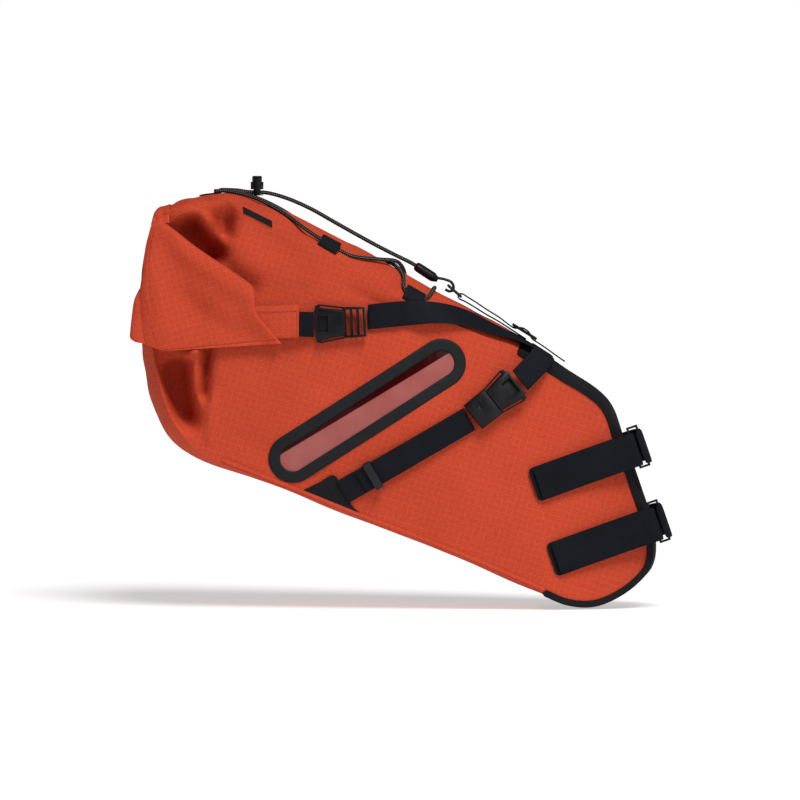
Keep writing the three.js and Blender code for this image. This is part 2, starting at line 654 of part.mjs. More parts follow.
function ears() {
  for (const [name, side] of SIDES) {
    const level = (x) => lerp(EAR_LEVEL.rear, EAR_LEVEL.front, Math.min(Math.max((x + 500) / 110, 0), 1));
    const blank = prism(EAR_FACE, 40, 120).rotateX(Math.PI / 2);
    if (side > 0) blank.translate(0, 160, 0);
    const skin = (lift) => (u, v) => {
      const x = lerp(-506, -355, u);
      return vec(x, side * (level(x) + lift), lerp(136, 282, v));
    };
    const face = solid(sheet(skin(0), skin(-1.8), 6, 1)).intersect(solid(blank));
    const { from, to, low, high } = EAR_TAB;
    const tab = (lift) => (u, v) => {
      const x = lerp(from, to, u);
      return vec(x, side * (EAR_LEVEL.front + lift), lerp(low + 2 * u, high + 2 * u, v));
    };
    add(`ear_${name}`, geometryOf(face.add(solid(sheet(tab(0.9), tab(-2.8), 4, 2)))), ORANGE);
    const hook = reachAt(...SIDE_BUCKLE.at) + SIDE_BUCKLE.lift + 5.1;
    const [x0, x1] = [to + 0.7, to + 14.6];
    const web = [vec(x0, side * (EAR_LEVEL.front - 0.9), 168.5), vec((x0 + x1) / 2, side * lerp(EAR_LEVEL.front, hook, 0.6), 168.3),
      vec(x1, side * hook, 168.1)];
    add(`ear_webbing_${name}`, ribbon(web, web.map(() => vec(0, 0, 1)), WEBBING, 1.8, 3), BLACK_WEB);
  }
}

// A small blank label sewn under the top seam on the right.
function label() {
  const [x0, x1] = [-400.5, -371.5];
  const skin = (lift) => (u, v) => {
    const x = lerp(x0, x1, u);
    const z = lerp(279, 264.5, u) + lerp(0, 6.5, v);
    return vec(x - v * 0.5, -(reachAt(x, z) + lift), z);
  };
  add("side_label", sheet(skin(1.2), skin(0.5), 6, 2), BLACK_CLOTH);
}

// ---- cords and fittings on top ----
const CORD_TABS = [["rear", 5.8], ["front", 7.35]];

function cordTabs() {
  for (const [row, station] of CORD_TABS)
    for (const [name, side] of SIDES) {
      const arch = [[0.99, 1.2], [0.985, 4.6], [0.93, 7.3], [0.81, 7.4], [0.72, 4.6], [0.68, 1.2]];
      const path = arch.map(([q, lift]) => topPoint(station, side * q, lift));
      const ahead = topPoint(station + 0.1, 0, 0).sub(topPoint(station, 0, 0)).normalize();
      add(`cord_tab_${row}_${name}`, ribbon(path, path.map(() => ahead), 21, 1.1, 14), BLACK_WEB);
    }
}

// The lacing: from the rear anchor out through the tabs in a cross and back, a strand each side of the middle.
function lacing() {
  const low = CORD_R + 0.8;
  const tab = low + 0.5;
  const half = [
    [3.15, 0.14, low + 0.6], [3.7, 0.14, low], [4.3, 0.24, low], [4.9, 0.52, low], [5.4, 0.8, low], [5.6, 0.862, tab],
    [5.8, 0.865, tab], [6, 0.862, tab], [6.16, 0.8, low], [6.5, 0.42, low],
  ];
  const mirror = half.map(([station, q, lift]) => [station, -q, lift]);
  const down = [[6.76, 0, low], [6.98, -0.45, low], [7.1, -0.78, low], [7.2, -0.862, tab], [7.36, -0.866, tab]];
  const across = [[7.52, -0.862, tab], [7.6, -0.76, low], [7.66, -0.4, low], [7.68, 0, low], [7.66, 0.4, low],
    [7.6, 0.76, low], [7.52, 0.862, tab]];
  const up = [[7.36, 0.866, tab], [7.2, 0.862, tab], [7.1, 0.78, low], [6.98, 0.45, low + 2.2], [6.76, 0, low + 4.3]];
  const stops = [...half, ...down, ...across, ...up, [6.5, -0.42, low + 1.6], ...mirror.slice(0, -1).reverse()];
  add("lacing_cord", rod(stops.map(([s, q, lift]) => topPoint(s, q, lift)), CORD_R, 80), CORD);
}

const LOCK = { x: -388, z: 296.5, radius: 6.5, height: 19 };

// The cord that holds cargo down: doubled through the cord lock, both ends held in the hook's sleeve.
function hookCord() {
  const run = [[-420, 301], [-408, 300.5], [-398, 299], [-388, 298.5], [-378, 298], [-358, 292.5],
    [-334, 282], [-310, 268.5], [-286, 255], [-262, 242], [-242, 232], [-232, 227], [-224, 222]];
  const strand = (y) => run.map(([x, z]) => vec(x, y, z));
  const turn = [vec(run[0][0] - 4, -1.4, run[0][1]), vec(run[0][0] - 4, 1.4, run[0][1])];
  const path = [...strand(-2.4).reverse(), ...turn, ...strand(2.4)];
  add("hook_cord", rod(path, CORD_R, 76), CORD);
}

function rearWebbing() {
  const path = [2.5, 2.8, 3.15, 3.5].map((s) => topPoint(s, 0, 1));
  add("rear_webbing", ribbon(path, path.map(() => vec(0, 1, 0)), 14, 1, 6), BLACK_WEB);
}

function cordLock() {
  const { x, z, radius, height } = LOCK;
  const foot = z - 1.2;
  const profile = (points) => points.map(([r, h]) => new THREE.Vector2(r, h));
  const cup = profile([[0, 0], [radius, 0], [radius, height * 0.72], [5.3, height * 0.72], [5.3, 1.4], [0, 1.4]]);
  const cordSlot = new THREE.BoxGeometry(40, 10.6, 5.4).translate(0, 0, 3.5);
  const shell = cut(new THREE.LatheGeometry(cup, 16).rotateX(Math.PI / 2), cordSlot);
  add("cord_lock_body", shell.translate(x, 0, foot), BLACK_PLASTIC);
  const stem = profile([[0, 10.6], [4.9, 10.6], [4.9, height], [4.2, height + 0.7], [0, height + 0.7]]);
  add("cord_lock_button", new THREE.LatheGeometry(stem, 16).rotateX(Math.PI / 2).translate(x, 0, foot), BLACK_PLASTIC);
  const coil = [];
  for (let i = 0; i <= 24; i++) {
    const a = (2 * Math.PI * i) / 8;
    coil.push(vec(x + 4.2 * Math.cos(a), 4.2 * Math.sin(a), foot + 6.6 + (i / 24) * 3.1));
  }
  add("cord_lock_spring", rod(coil, 0.35, 36, 5), STEEL);
}

// The hook: a sleeve moulded on the cord ends, and a wire that curls through the ring.
function hook() {
  const from = vec(-227.5, 0, 224);
  const to = vec(-206, 0, 210);
  const along = to.clone().sub(from);
  const tube = prism(capsule([0, -2.4], [0, 2.4], 5, 5), 0, along.length());
  const sleeve = cut(tube, prism(capsule([0, -2.4], [0, 2.4], 3, 4), -2, 6));
  place(sleeve, from, vec(-along.z, 0, along.x), along);
  const curl = [[-208, 211.5], [-198, 210.5], [-191, 208], [-187.5, 203], [-188.5, 198.5], [-193, 197.5],
    [-198.5, 199.5]];
  return join(sleeve, rod(curl.map(([x, z]) => vec(x, 0, z)), 1.4, 18));
}

function hookRing() {
  const tall = vec(0.75, 0, -0.66).normalize();
  const points = [];
  for (let i = 0; i < 16; i++) {
    const a = (2 * Math.PI * i) / 16;
    const [down, across] = [Math.cos(a), Math.sin(a)].map((c) => Math.sign(c) * Math.abs(c) ** 0.35);
    points.push(vec(-189, 12.4 * across, 199).addScaledVector(tall, 8.4 * down));
  }
  return loopRod(points, 1.2, 7);
}

const GLIDE = { at: [-118.5, 158], along: [0.85, -0.527], half: 14, bar: 2.5, slot: 10.5 };

// The strap down the middle of the top: sewn at the nose, round the ring, and through the adjuster to a free tail.
function topStrap() {
  const [ax, az] = GLIDE.along;
  const onGlide = (s, n) => [GLIDE.at[0] + ax * s - az * n, GLIDE.at[1] + az * s + ax * n];
  const weave = [[17, -2.3], [11.5, -2.3], [8.6, -1.3], [5.4, 1.4], [2.6, 2.3], [-2.6, 2.3], [-5.4, 1.4], [-8.6, -1.3],
    [-11.5, -2.3], [-17, -2.3]];
  const line = [[-78, 128], [-88, 135], [-97, 141.5]];
  line.push(...weave.map(([s, n]) => onGlide(s, n)));
  line.push([-144, 172.5], [-156, 180], [-168, 188], [-176, 193], [-181, 196], [-184, 196], [-185.5, 193.5]);
  line.push([-184, 191], [-179.5, 189], [-170, 183.5], [-158, 176], [-144, 168], [-130, 159]);
  line.push([-117, 150.5]);
  const path = line.map(([x, z]) => vec(x, 0, z));
  add("top_strap", ribbon(path, path.map(() => vec(0, 1, 0)), 20, 1.2, 2 * (path.length - 1)), BLACK_WEB);
  const { half, bar, slot } = GLIDE;
  const slots = [box(-slot, -bar, -10.7, 10.7), box(bar, slot, -10.7, 10.7)];
  const glide = plate(box(-half, half, -half, half), slots, -1.2, 1.2);
  const at = vec(GLIDE.at[0], 0, GLIDE.at[1]);
  add("tri_glide", place(glide, at, vec(ax, 0, az), vec(-az, 0, ax)), BLACK_PLASTIC);
}

// A closed ring of round wire through points that lie in one plane.
function loopRod(points, radius, sides) {
  const centre = points.reduce((sum, p) => sum.add(p), vec(0, 0, 0)).divideScalar(points.length);
  const axis = points[0].clone().sub(centre).cross(points[4].clone().sub(centre)).normalize();
  const ringPoint = (i, j) => {
    const out = points[i].clone().sub(centre).normalize();
    const a = (2 * Math.PI * j) / sides;
    return points[i].clone().addScaledVector(out, radius * Math.cos(a)).addScaledVector(axis, radius * Math.sin(a));
  };
  const positions = [];
  const index = [];
  for (let i = 0; i < points.length; i++)
    for (let j = 0; j < sides; j++) positions.push(...ringPoint(i, j).toArray());
  for (let i = 0; i < points.length; i++)
    for (let j = 0; j < sides; j++) {
      const next = ((i + 1) % points.length) * sides;
      const up = (j + 1) % sides;
      const here = i * sides;
      index.push(here + j, next + j, next + up, here + j, next + up, here + up);
    }
  return facingOut(positions, index);
}

sidePanels();
bridgePanels();
nose();
postStraps();
buckles();
sideWebbing();
closure();
ears();
cordTabs();
lacing();
hookCord();
rearWebbing();
cordLock();
add("hook", hook(), BLACK_PLASTIC);
add("hook_ring", hookRing(), WIRE);
topStrap();
label();

export default group;
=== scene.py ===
import math

import bmesh
import bpy
import numpy as np
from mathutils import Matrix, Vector


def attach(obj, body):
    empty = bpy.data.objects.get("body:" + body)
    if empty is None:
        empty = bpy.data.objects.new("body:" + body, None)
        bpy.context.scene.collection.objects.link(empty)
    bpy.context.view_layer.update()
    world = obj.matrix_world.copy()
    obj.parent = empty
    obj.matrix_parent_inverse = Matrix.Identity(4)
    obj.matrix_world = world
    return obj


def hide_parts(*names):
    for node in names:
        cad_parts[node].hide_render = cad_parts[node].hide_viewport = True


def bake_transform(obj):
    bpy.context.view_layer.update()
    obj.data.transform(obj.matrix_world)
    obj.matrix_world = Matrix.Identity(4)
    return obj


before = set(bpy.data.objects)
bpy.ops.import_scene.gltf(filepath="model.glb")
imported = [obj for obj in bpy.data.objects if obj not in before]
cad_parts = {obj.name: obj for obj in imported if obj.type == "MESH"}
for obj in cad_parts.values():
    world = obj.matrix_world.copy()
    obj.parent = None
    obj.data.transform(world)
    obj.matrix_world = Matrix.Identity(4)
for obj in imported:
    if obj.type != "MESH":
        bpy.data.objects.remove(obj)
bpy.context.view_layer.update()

# ---- side panels ----
# Two tapering side panels of laminated orange ripstop, cut flat and sewn to the top and bottom panels along
# both long edges. Towards the mouth the cloth is drawn inwards in folds, because its corners turn into the
# ears.

# The sewing lines from the mouth to the nose, in millimetres: bottom seam x, z; top seam x, z; half width
# at the seams; swell of the side; pinch of the side; crown of the top panel; sag of the bottom panel.
SEWN = np.array([
    [-492, 145, -483, 277, 64, 0, 34, 3, 8],
    [-488, 122, -472, 283, 65, 2, 28, 3, 9],
    [-481, 94, -456, 288, 66, 4, 18, 4, 11],
    [-469, 67, -434, 291, 67, 6, 8, 5, 11],
    [-446, 41, -413, 290, 68, 7, 2, 7, 7],
    [-394, 18, -364, 268, 68, 8, 0, 12, 5],
    [-334, -6, -307, 234.5, 67, 9, 0, 16, 5],
    [-274, -30, -250, 196, 64, 10, 0, 23, 5],
    [-214, -53, -204, 174, 58, 10, 0, 20, 5],
    [-154, -78, -158, 154, 50, 9, 0, 17, 5],
    [-99, -102, -126, 139, 43, 8, 0, 13, 5],
    [-75, -112, -84, 114, 36, 5, 0, 10, 5],
    [-51, -114, -41, 84, 30, 3, 0, 9, 5],
    [-30, -107, -27, 50, 27, 2, 0, 9, 4],
    [-8, -92, -11, 4, 25, 1, 0, 9, 5],
    [5, -75, 6, -48, 24, 0, 0, 8, 7],
], float)
LAST_SEAM = len(SEWN) - 1
CLOTH = 1.6
SIDES = {"right": -1, "left": 1}
WINDOW_REAR = np.array([-351, 33.5])
WINDOW_FRONT = np.array([-202.5, 128.5])
WINDOW_CUT = 19


def spline(points, t):
    """A smooth line through the points. Each span is a cubic whose end slopes are the mean slopes of the
    spans on both sides, weighted by the roots of their lengths. t runs from 0 to 1 over the spans in equal
    shares."""
    p = np.asarray(points, float)
    p = np.vstack([2 * p[0] - p[1], p, 2 * p[-1] - p[-2]])
    spans = len(p) - 3
    x = np.clip(np.asarray(t, float), 0, 1) * spans
    i = np.minimum(x.astype(int), spans - 1)
    w = (x - i)[..., None]
    root = np.sqrt(np.linalg.norm(np.diff(p, axis=0), axis=1))
    root[root < 1e-4] = 1
    d0, d1, d2 = (root[i + k][..., None] for k in range(3))
    p0, p1, p2, p3 = (p[i + k] for k in range(4))
    m1 = ((p1 - p0) / d0 - (p2 - p0) / (d0 + d1) + (p2 - p1) / d1) * d1
    m2 = ((p2 - p1) / d1 - (p3 - p1) / (d1 + d2) + (p3 - p2) / d2) * d1
    return p1 + m1 * w + (3 * (p2 - p1) - 2 * m1 - m2) * w**2 + (2 * (p1 - p2) + m1 + m2) * w**3


def panel_share(x, z):
    """The share t along the seams and v up between them of a point of the side view. t is found by halving:
    the point lies ahead of or behind the line that joins the two seams at t."""
    low, high = np.zeros_like(x), np.ones_like(x)
    for _ in range(26):
        t = (low + high) / 2
        b = spline(SEWN[:, 0:2], t)
        a = spline(SEWN[:, 2:4], t) - b
        ahead = a[..., 0] * (z - b[..., 1]) - a[..., 1] * (x - b[..., 0]) < 0
        low, high = np.where(ahead, t, low), np.where(ahead, high, t)
    return low, ((x - b[..., 0]) * a[..., 0] + (z - b[..., 1]) * a[..., 1]) / (a**2).sum(-1)


def panel_reach(t, v):
    """Distance of the side's face from the middle plane: half width, plus the swell times a sine arch over
    the height, less the pinch times that arch squared."""
    g = spline(SEWN[:, 4:7], t)
    arch = np.sin(np.pi * np.clip(v, 0, 1))
    return g[..., 0] + g[..., 1] * arch - g[..., 2] * arch**2


def reach_at(x, z):
    """The same distance at a point x, z of the side view."""
    return panel_reach(*panel_share(np.asarray(x, float), np.asarray(z, float)))


def ease(x, low, high):
    """0 below low, 1 above high, and a smooth cubic between them."""
    s = np.clip((x - low) / (high - low), 0, 1)
    return s * s * (3 - 2 * s)


def crease(x, z, start, end, width, depth, crisp=2.0):
    """One crease from start to end: depth on its line, falling off to both sides as
    exp(-(distance/width)^crisp), and fading out over a fifth of its length at each end."""
    dx, dz = end[0] - start[0], end[1] - start[1]
    length = math.hypot(dx, dz)
    s = ((x - start[0]) * dx + (z - start[1]) * dz) / length**2
    off = np.abs((x - start[0]) * dz - (z - start[1]) * dx) / length
    fade = ease(s, -0.1, 0.2) * (1 - ease(s, 0.8, 1.1))
    return depth * fade * np.exp(-((off / width) ** crisp))


# Folds of the side cloth: start, end, width and depth of each, and how crisp its line is.
SIDE_FOLDS = [
    ((-474, 140), (-461, 60), 16, -40, 3.2),
    ((-436, 152), (-440, 90), 5, -18, 1.6),
    ((-449, 134), (-453, 96), 5, 5, 2.0),
    ((-490, 127), (-440, 143), 6, 14, 1.6),
    ((-431, 104), (-436, 40), 4, 3.5, 1.3),
    ((-413, 297), (-417, 252), 6, -16, 1.5),
    ((-424, 284), (-428, 236), 10, -12, 1.8),
    ((-464, 270), (-430, 224), 15, -36, 3.0),
    ((-464, 287), (-430, 268), 8, 4, 2.0),
    ((-430, 236), (-388, 196), 13, -8, 1.8),
    ((-400, 206), (-330, 196), 16, -2.6, 2.0),
    ((-396, 262), (-330, 214), 18, -1.6, 2.0),
    ((-300, 205), (-258, 186), 7, -2.0, 1.6),
    ((-290, 150), (-330, 100), 20, -1.6, 2.0),
    ((-420, 60), (-300, 5), 14, -1.4, 2.0),
    ((-180, 40), (-90, -40), 26, -1.2, 2.0),
]


def side_folds(x, z):
    """Height of the folds over the side's face, with a slow swell of the cloth from three crossing waves."""
    made = sum(crease(x, z, *f) for f in SIDE_FOLDS)
    slow = np.sin(x / 31 + z / 47) + np.sin(x / 53 - z / 29 + 1.7) + 0.6 * np.sin(x / 17 + z / 23 + 4.1)
    return made + 0.22 * slow - 0.3


def grid(rows, columns, first=(0, 1), second=(0, 1)):
    """Two parameters on a grid of rows and columns, each spaced evenly between its limits."""
    return np.meshgrid(np.linspace(*first, rows), np.linspace(*second, columns), indexing="ij")


def placed(name, data):
    """An object for new data, linked to the scene at the origin."""
    made = bpy.data.objects.new(name, data)
    bpy.context.scene.collection.objects.link(made)
    return made


def made_piece(name, points, faces, uv=None):
    """Puts points in millimetres and quads into a mesh in metres, smooth, with uv in metres."""
    used, faces = np.unique(faces, return_inverse=True)
    faces = faces.reshape(-1, 4)
    points = points[used] / 1000
    mesh = bpy.data.meshes.new(name)
    mesh.vertices.add(len(points))
    mesh.vertices.foreach_set("co", points.ravel().astype(np.float32))
    mesh.loops.add(faces.size)
    mesh.loops.foreach_set("vertex_index", faces.ravel().astype(np.int32))
    mesh.polygons.add(len(faces))
    mesh.polygons.foreach_set("loop_start", np.arange(0, faces.size, 4, dtype=np.int32))
    mesh.update(calc_edges=True)
    mesh.validate()
    if uv is not None:
        layer = mesh.uv_layers.new(name="cloth")
        layer.data.foreach_set("uv", (uv[used][faces.ravel()] / 1000).ravel().astype(np.float32))
    mesh.polygons.foreach_set("use_smooth", np.ones(len(faces), bool))
    return placed(name, mesh)


def cloth_mesh(name, outer, inner, uv, keep=None, loop=False):
    """A closed sheet between two grids of points in millimetres. Each kept cell gives a face on both grids,
    and every edge between a kept cell and no cell gets a wall, so holes and borders are closed. uv goes to
    the map."""
    rows, columns = outer.shape[:2]
    index = np.arange(rows * columns).reshape(rows, columns)
    index = np.vstack([index, index[:1]]) if loop else index
    cells = (index.shape[0] - 1, columns - 1)
    keep = np.ones(cells, bool) if keep is None else keep
    back = rows * columns
    a, b, c, d = index[:-1, :-1][keep], index[1:, :-1][keep], index[1:, 1:][keep], index[:-1, 1:][keep]
    faces = [np.stack([a, b, c, d], 1), np.stack([d, c, b, a], 1) + back]
    beside = np.pad(keep, 1)
    if loop:
        beside[0, 1:-1], beside[-1, 1:-1] = keep[-1], keep[0]

    def wall(first, second, where):
        p, q = first[where], second[where]
        faces.append(np.stack([p, q, q + back, p + back], 1))

    before, after = beside[:-1, 1:-1], beside[1:, 1:-1]
    if loop:
        before, after = before[:-1], after[:-1]
    lines = index[: len(before)]
    wall(lines[:, :-1], lines[:, 1:], after & ~before)
    wall(lines[:, 1:], lines[:, :-1], before & ~after)
    left, right = beside[1:-1, :-1], beside[1:-1, 1:]
    wall(index[1:], index[:-1], right & ~left)
    wall(index[:-1], index[1:], left & ~right)
    faces = np.vstack(faces)
    points = np.concatenate([outer.reshape(-1, 3), inner.reshape(-1, 3)])
    across = np.cross(points[c] - points[a], points[d] - points[b])
    if ((points[a] - points[a + back]) * across).sum() < 0:
        faces = faces[:, ::-1]
    return made_piece(name, points, faces, np.concatenate([uv.reshape(-1, 2)] * 2))


def side_sheet(name, side, x, outer, inner, z, uv, **more):
    """A closed sheet over a side of the bag, from the distances of its two faces from the middle plane."""
    faces = [np.stack([x, side * reach, z], -1) for reach in (outer, inner)]
    return cloth_mesh(name, *faces, uv, **more)


def sew(piece, body, finish, slot, *stands_for, corner=40):
    """Gives a finished piece its material, its edges sharp past the corner angle, its body and its nodes."""
    piece.data.materials.clear()
    piece.data.materials.append(finish)
    if corner:
        piece.data.set_sharp_from_angle(angle=math.radians(corner))
    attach(piece, body)
    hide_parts(*stands_for)


def shader(tree):
    """Gives put(kind, inputs, settings), which adds a node, sets or links its inputs and returns its
    outputs, and calc(operation, a, b, c), which returns the value of a maths node."""
    def put(kind, inputs=None, **settings):
        made = tree.nodes.new("ShaderNode" + kind)
        for key, value in settings.items():
            setattr(made, key, value)
        for key, value in (inputs or {}).items():
            if isinstance(value, bpy.types.NodeSocket):
                tree.links.new(value, made.inputs[key])
            else:
                made.inputs[key].default_value = value
        return made.outputs

    def calc(operation, a, b=0.0, c=0.0, clamp=False):
        return put("Math", {0: a, 1: b, 2: c}, operation=operation, use_clamp=clamp)[0]
    return put, calc


def effect(name, size_name, size, gives):
    """A shader group over a vector and one size, that gives the named values."""
    tree = bpy.data.node_groups.new(name, "ShaderNodeTree")
    tree.interface.new_socket("Vector", in_out="INPUT", socket_type="NodeSocketVector")
    tree.interface.new_socket(size_name, in_out="INPUT", socket_type="NodeSocketFloat").default_value = size
    for label in gives:
        tree.interface.new_socket(label, in_out="OUTPUT", socket_type="NodeSocketFloat")
    inputs = tree.nodes.new("NodeGroupInput").outputs
    exits = tree.nodes.new("NodeGroupOutput")

    def give(label, value):
        tree.links.new(value, exits.inputs[label])
    return tree, *shader(tree), inputs, give


def ripstop_effect():
    """Ripstop on the cloth map: a grid of thick threads every cell, told by the distance of each coordinate
    from the nearest multiple of the cell; a heather of pale and dark yarns, from noise drawn out along each
    coordinate; and the plain weave's height, the product of two sine waves one thread apart."""
    thick_thread, thread_pitch = 0.00036, 0.0007
    tree, put, calc, given, give = effect("ripstop", "Cell", 0.0063, ["Grid", "Heather", "Height"])
    parts = put("SeparateXYZ", {0: given["Vector"]})
    rows = []
    for axis in (0, 1):
        off = calc("PINGPONG", parts[axis], calc("MULTIPLY", given["Cell"], 0.5))
        rows.append(calc("SUBTRACT", 1.0, calc("DIVIDE", off, thick_thread), clamp=True))
    lines = calc("MAXIMUM", *rows)
    broken = put("TexNoise", {"Vector": given["Vector"], "Scale": 420.0, "Detail": 2.0})["Fac"]
    give("Grid", calc("MULTIPLY", lines, calc("MULTIPLY_ADD", broken, 1.8, -0.25, clamp=True)))
    yarns = []
    for stretch in ((260, 1500, 1), (1500, 260, 1)):
        drawn = put("VectorMath", {0: given["Vector"], 1: stretch}, operation="MULTIPLY")[0]
        noise = {"Vector": drawn, "Scale": 1.0, "Detail": 2.0, "Roughness": 0.6}
        yarns.append(put("TexNoise", noise)["Fac"])
    give("Heather", calc("MULTIPLY_ADD", calc("ADD", *yarns), 1.7, -1.2, clamp=True))
    waves = [calc("SINE", calc("MULTIPLY", parts[axis], 2 * math.pi / thread_pitch)) for axis in (0, 1)]
    weave = calc("MULTIPLY", *waves)
    give("Height", calc("MULTIPLY_ADD", lines, 1.2, calc("MULTIPLY", weave, 0.5)))
    return tree


def wear_effect():
    """Soil and rub, which change colour and roughness a little: slow patches and fine noise."""
    tree, put, calc, given, give = effect("soil and rub", "Size", 0.05, ["Patches", "Fine"])
    scale = calc("DIVIDE", 1.0, given["Size"])
    slow = put("TexNoise", {"Vector": given["Vector"], "Scale": scale, "Detail": 3.0})["Fac"]
    fine_scale = calc("MULTIPLY", scale, 14.0)
    fine = put("TexNoise", {"Vector": given["Vector"], "Scale": fine_scale, "Detail": 4.0})["Fac"]
    give("Patches", calc("MULTIPLY_ADD", slow, 2.4, -0.7, clamp=True))
    give("Fine", fine)
    return tree


RIPSTOP = ripstop_effect()
WEAR = wear_effect()


def new_finish(name, **constants):
    """A material whose constants are set on the shader's own sockets, and feed, which links a value to one."""
    made = bpy.data.materials.new(name)
    made.use_nodes = True
    tree = made.node_tree
    tree.nodes.clear()
    body = tree.nodes.new("ShaderNodeBsdfPrincipled")
    exits = tree.nodes.new("ShaderNodeOutputMaterial")
    tree.links.new(body.outputs[0], exits.inputs[0])
    for key, value in constants.items():
        body.inputs[key.replace("_", " ")].default_value = value

    def feed(label, value):
        tree.links.new(value, body.inputs[label])
    return made, *shader(tree), feed


def mixed(put, share, low, high):
    """Mixes two colours, each a socket or three numbers, by a share."""
    low, high = (c if isinstance(c, bpy.types.NodeSocket) else (*c, 1) for c in (low, high))
    return put("Mix", {0: share, 6: low, 7: high}, data_type="RGBA")[2]


def worn(put, calc, feed, size, spread, least):
    """Soil and rub of a size, and a roughness of the least value plus the spread times the fine noise."""
    wear = put("Group", {"Vector": put("TexCoord")["Object"], "Size": size}, node_tree=WEAR)
    feed("Roughness", calc("MULTIPLY_ADD", wear["Fine"], spread, least))
    return wear


def relief(put, height, strength, depth, **under):
    """A bump of a height, over another one where it is given."""
    return put("Bump", {"Height": height, "Strength": strength, "Distance": depth, **under})[0]


def ripstop_cloth(name, dark, light, thread, cell=0.0063):
    """Laminated ripstop: heather of two colours, a paler grid, patches of soil, and a fine woven bump."""
    made, put, calc, feed = new_finish(name, Specular_IOR_Level=0.05)
    weave = put("Group", {"Vector": put("UVMap", uv_map="cloth")[0], "Cell": cell}, node_tree=RIPSTOP)
    wear = worn(put, calc, feed, 0.06, 0.16, 0.7)
    base = mixed(put, weave["Heather"], dark, light)
    base = mixed(put, calc("MULTIPLY", wear["Patches"], 0.22), base, tuple(0.72 * c for c in dark))
    feed("Base Color", mixed(put, calc("MULTIPLY", weave["Grid"], 0.30), base, thread))
    woven = relief(put, weave["Height"], 0.35, 0.00025)
    feed("Normal", relief(put, wear["Fine"], 0.12, 0.001, Normal=woven))
    return made


ORANGE_RIPSTOP = ripstop_cloth("orange ripstop", dark=(0.42, 0.040, 0.015), light=(0.55, 0.072, 0.034),
                               thread=(0.78, 0.19, 0.11))


def capsule_distance(x, z):
    """Distance of a point from the window's core line."""
    d = WINDOW_FRONT - WINDOW_REAR
    s = np.clip(((x - WINDOW_REAR[0]) * d[0] + (z - WINDOW_REAR[1]) * d[1]) / (d @ d), 0, 1)
    return np.hypot(x - WINDOW_REAR[0] - s * d[0], z - WINDOW_REAR[1] - s * d[1])


def along_bag(x, z, lean=-0.30):
    """Cloth map of a side: the pattern is laid along the bag, turned by its lean in the side view."""
    return np.stack([x * math.cos(lean) + z * math.sin(lean), z * math.cos(lean) - x * math.sin(lean)], -1)


def side_face(t, v):
    """x, distance from the middle plane, and z of the side's face, folds included."""
    b, a = spline(SEWN[:, 0:2], t), spline(SEWN[:, 2:4], t)
    p = b + (a - b) * v[..., None]
    x, z = p[..., 0], p[..., 1]
    at_seam = ease(np.minimum(v, 1 - v), 0, 0.07)
    return x, panel_reach(t, v) + side_folds(x, z) * at_seam, z


for name, side in SIDES.items():
    t, v = grid(230, 96)
    x, y, z = side_face(t**1.25, v)
    cell_x, cell_z = (x[:-1, :-1] + x[1:, 1:]) / 2, (z[:-1, :-1] + z[1:, 1:]) / 2
    kept = capsule_distance(cell_x, cell_z) >= WINDOW_CUT
    panel = side_sheet(f"side_cloth_{name}", side, x, y, y - CLOTH, z, along_bag(x, z), keep=kept)
    sew(panel, "bag", ORANGE_RIPSTOP, "shell_fabric", f"side_panel_{name}", corner=60)
    sew(panel, "bag", ORANGE_RIPSTOP, "shell_fabric", f"side_panel_{name}", corner=60)

# ---- windows ----
# A long clear window in each side, so that the load can be seen: a soft film behind a matte rubber frame
# that is welded over the cut edge of the cloth.

FRAME_IN, FRAME_OUT, FILM_HALF = 13.0, 24.5, 16.0


def capsule_line(radius, steps):
    """Points round a capsule: two half circles of the radius joined by straight runs, spaced evenly by
    length, found from the length run so far."""
    d = WINDOW_FRONT - WINDOW_REAR
    straight = np.hypot(*d)
    turn = math.atan2(d[1], d[0])
    arc = math.pi * radius
    s = np.arange(steps) / steps * 2 * (straight + arc)
    ends_at = [arc, arc + straight, 2 * arc + straight]
    first, second, third = s < arc, (s >= arc) & (s < ends_at[1]), (s >= ends_at[1]) & (s < ends_at[2])
    rear_angle = np.where(third, math.pi + (s - arc - straight) / radius, 0)
    angle = turn - math.pi / 2 + np.where(first, s / radius, rear_angle)
    centre = np.where(first[:, None], WINDOW_FRONT, WINDOW_REAR)
    round_part = centre + radius * np.stack([np.cos(angle), np.sin(angle)], -1)
    along, out = d / straight, np.array([-d[1], d[0]]) / straight
    upper = WINDOW_FRONT + radius * out - along * (s - arc)[:, None]
    lower = WINDOW_REAR - radius * out + along * (s - 2 * arc - straight)[:, None]
    return np.where((first | third)[:, None], round_part, np.where(second[:, None], upper, lower))


def rubbed(put, calc, wear, share, dark, light, rub, paler):
    """Two shades by a share, with patches rubbed towards a paler one."""
    base = mixed(put, share, dark, light)
    return mixed(put, calc("MULTIPLY", wear["Patches"], rub), base, tuple(paler * c for c in light))


def rubber_finish(name, dark, light, least):
    """Matte rubber: two close greys by fine noise, and a leathery bump."""
    made, put, calc, feed = new_finish(name, Specular_IOR_Level=0.12)
    wear = worn(put, calc, feed, 0.02, 0.2, least)
    feed("Base Color", rubbed(put, calc, wear, wear["Fine"], dark, light, 0.3, 1.5))
    feed("Normal", relief(put, wear["Fine"], 0.25, 0.0004))
    return made


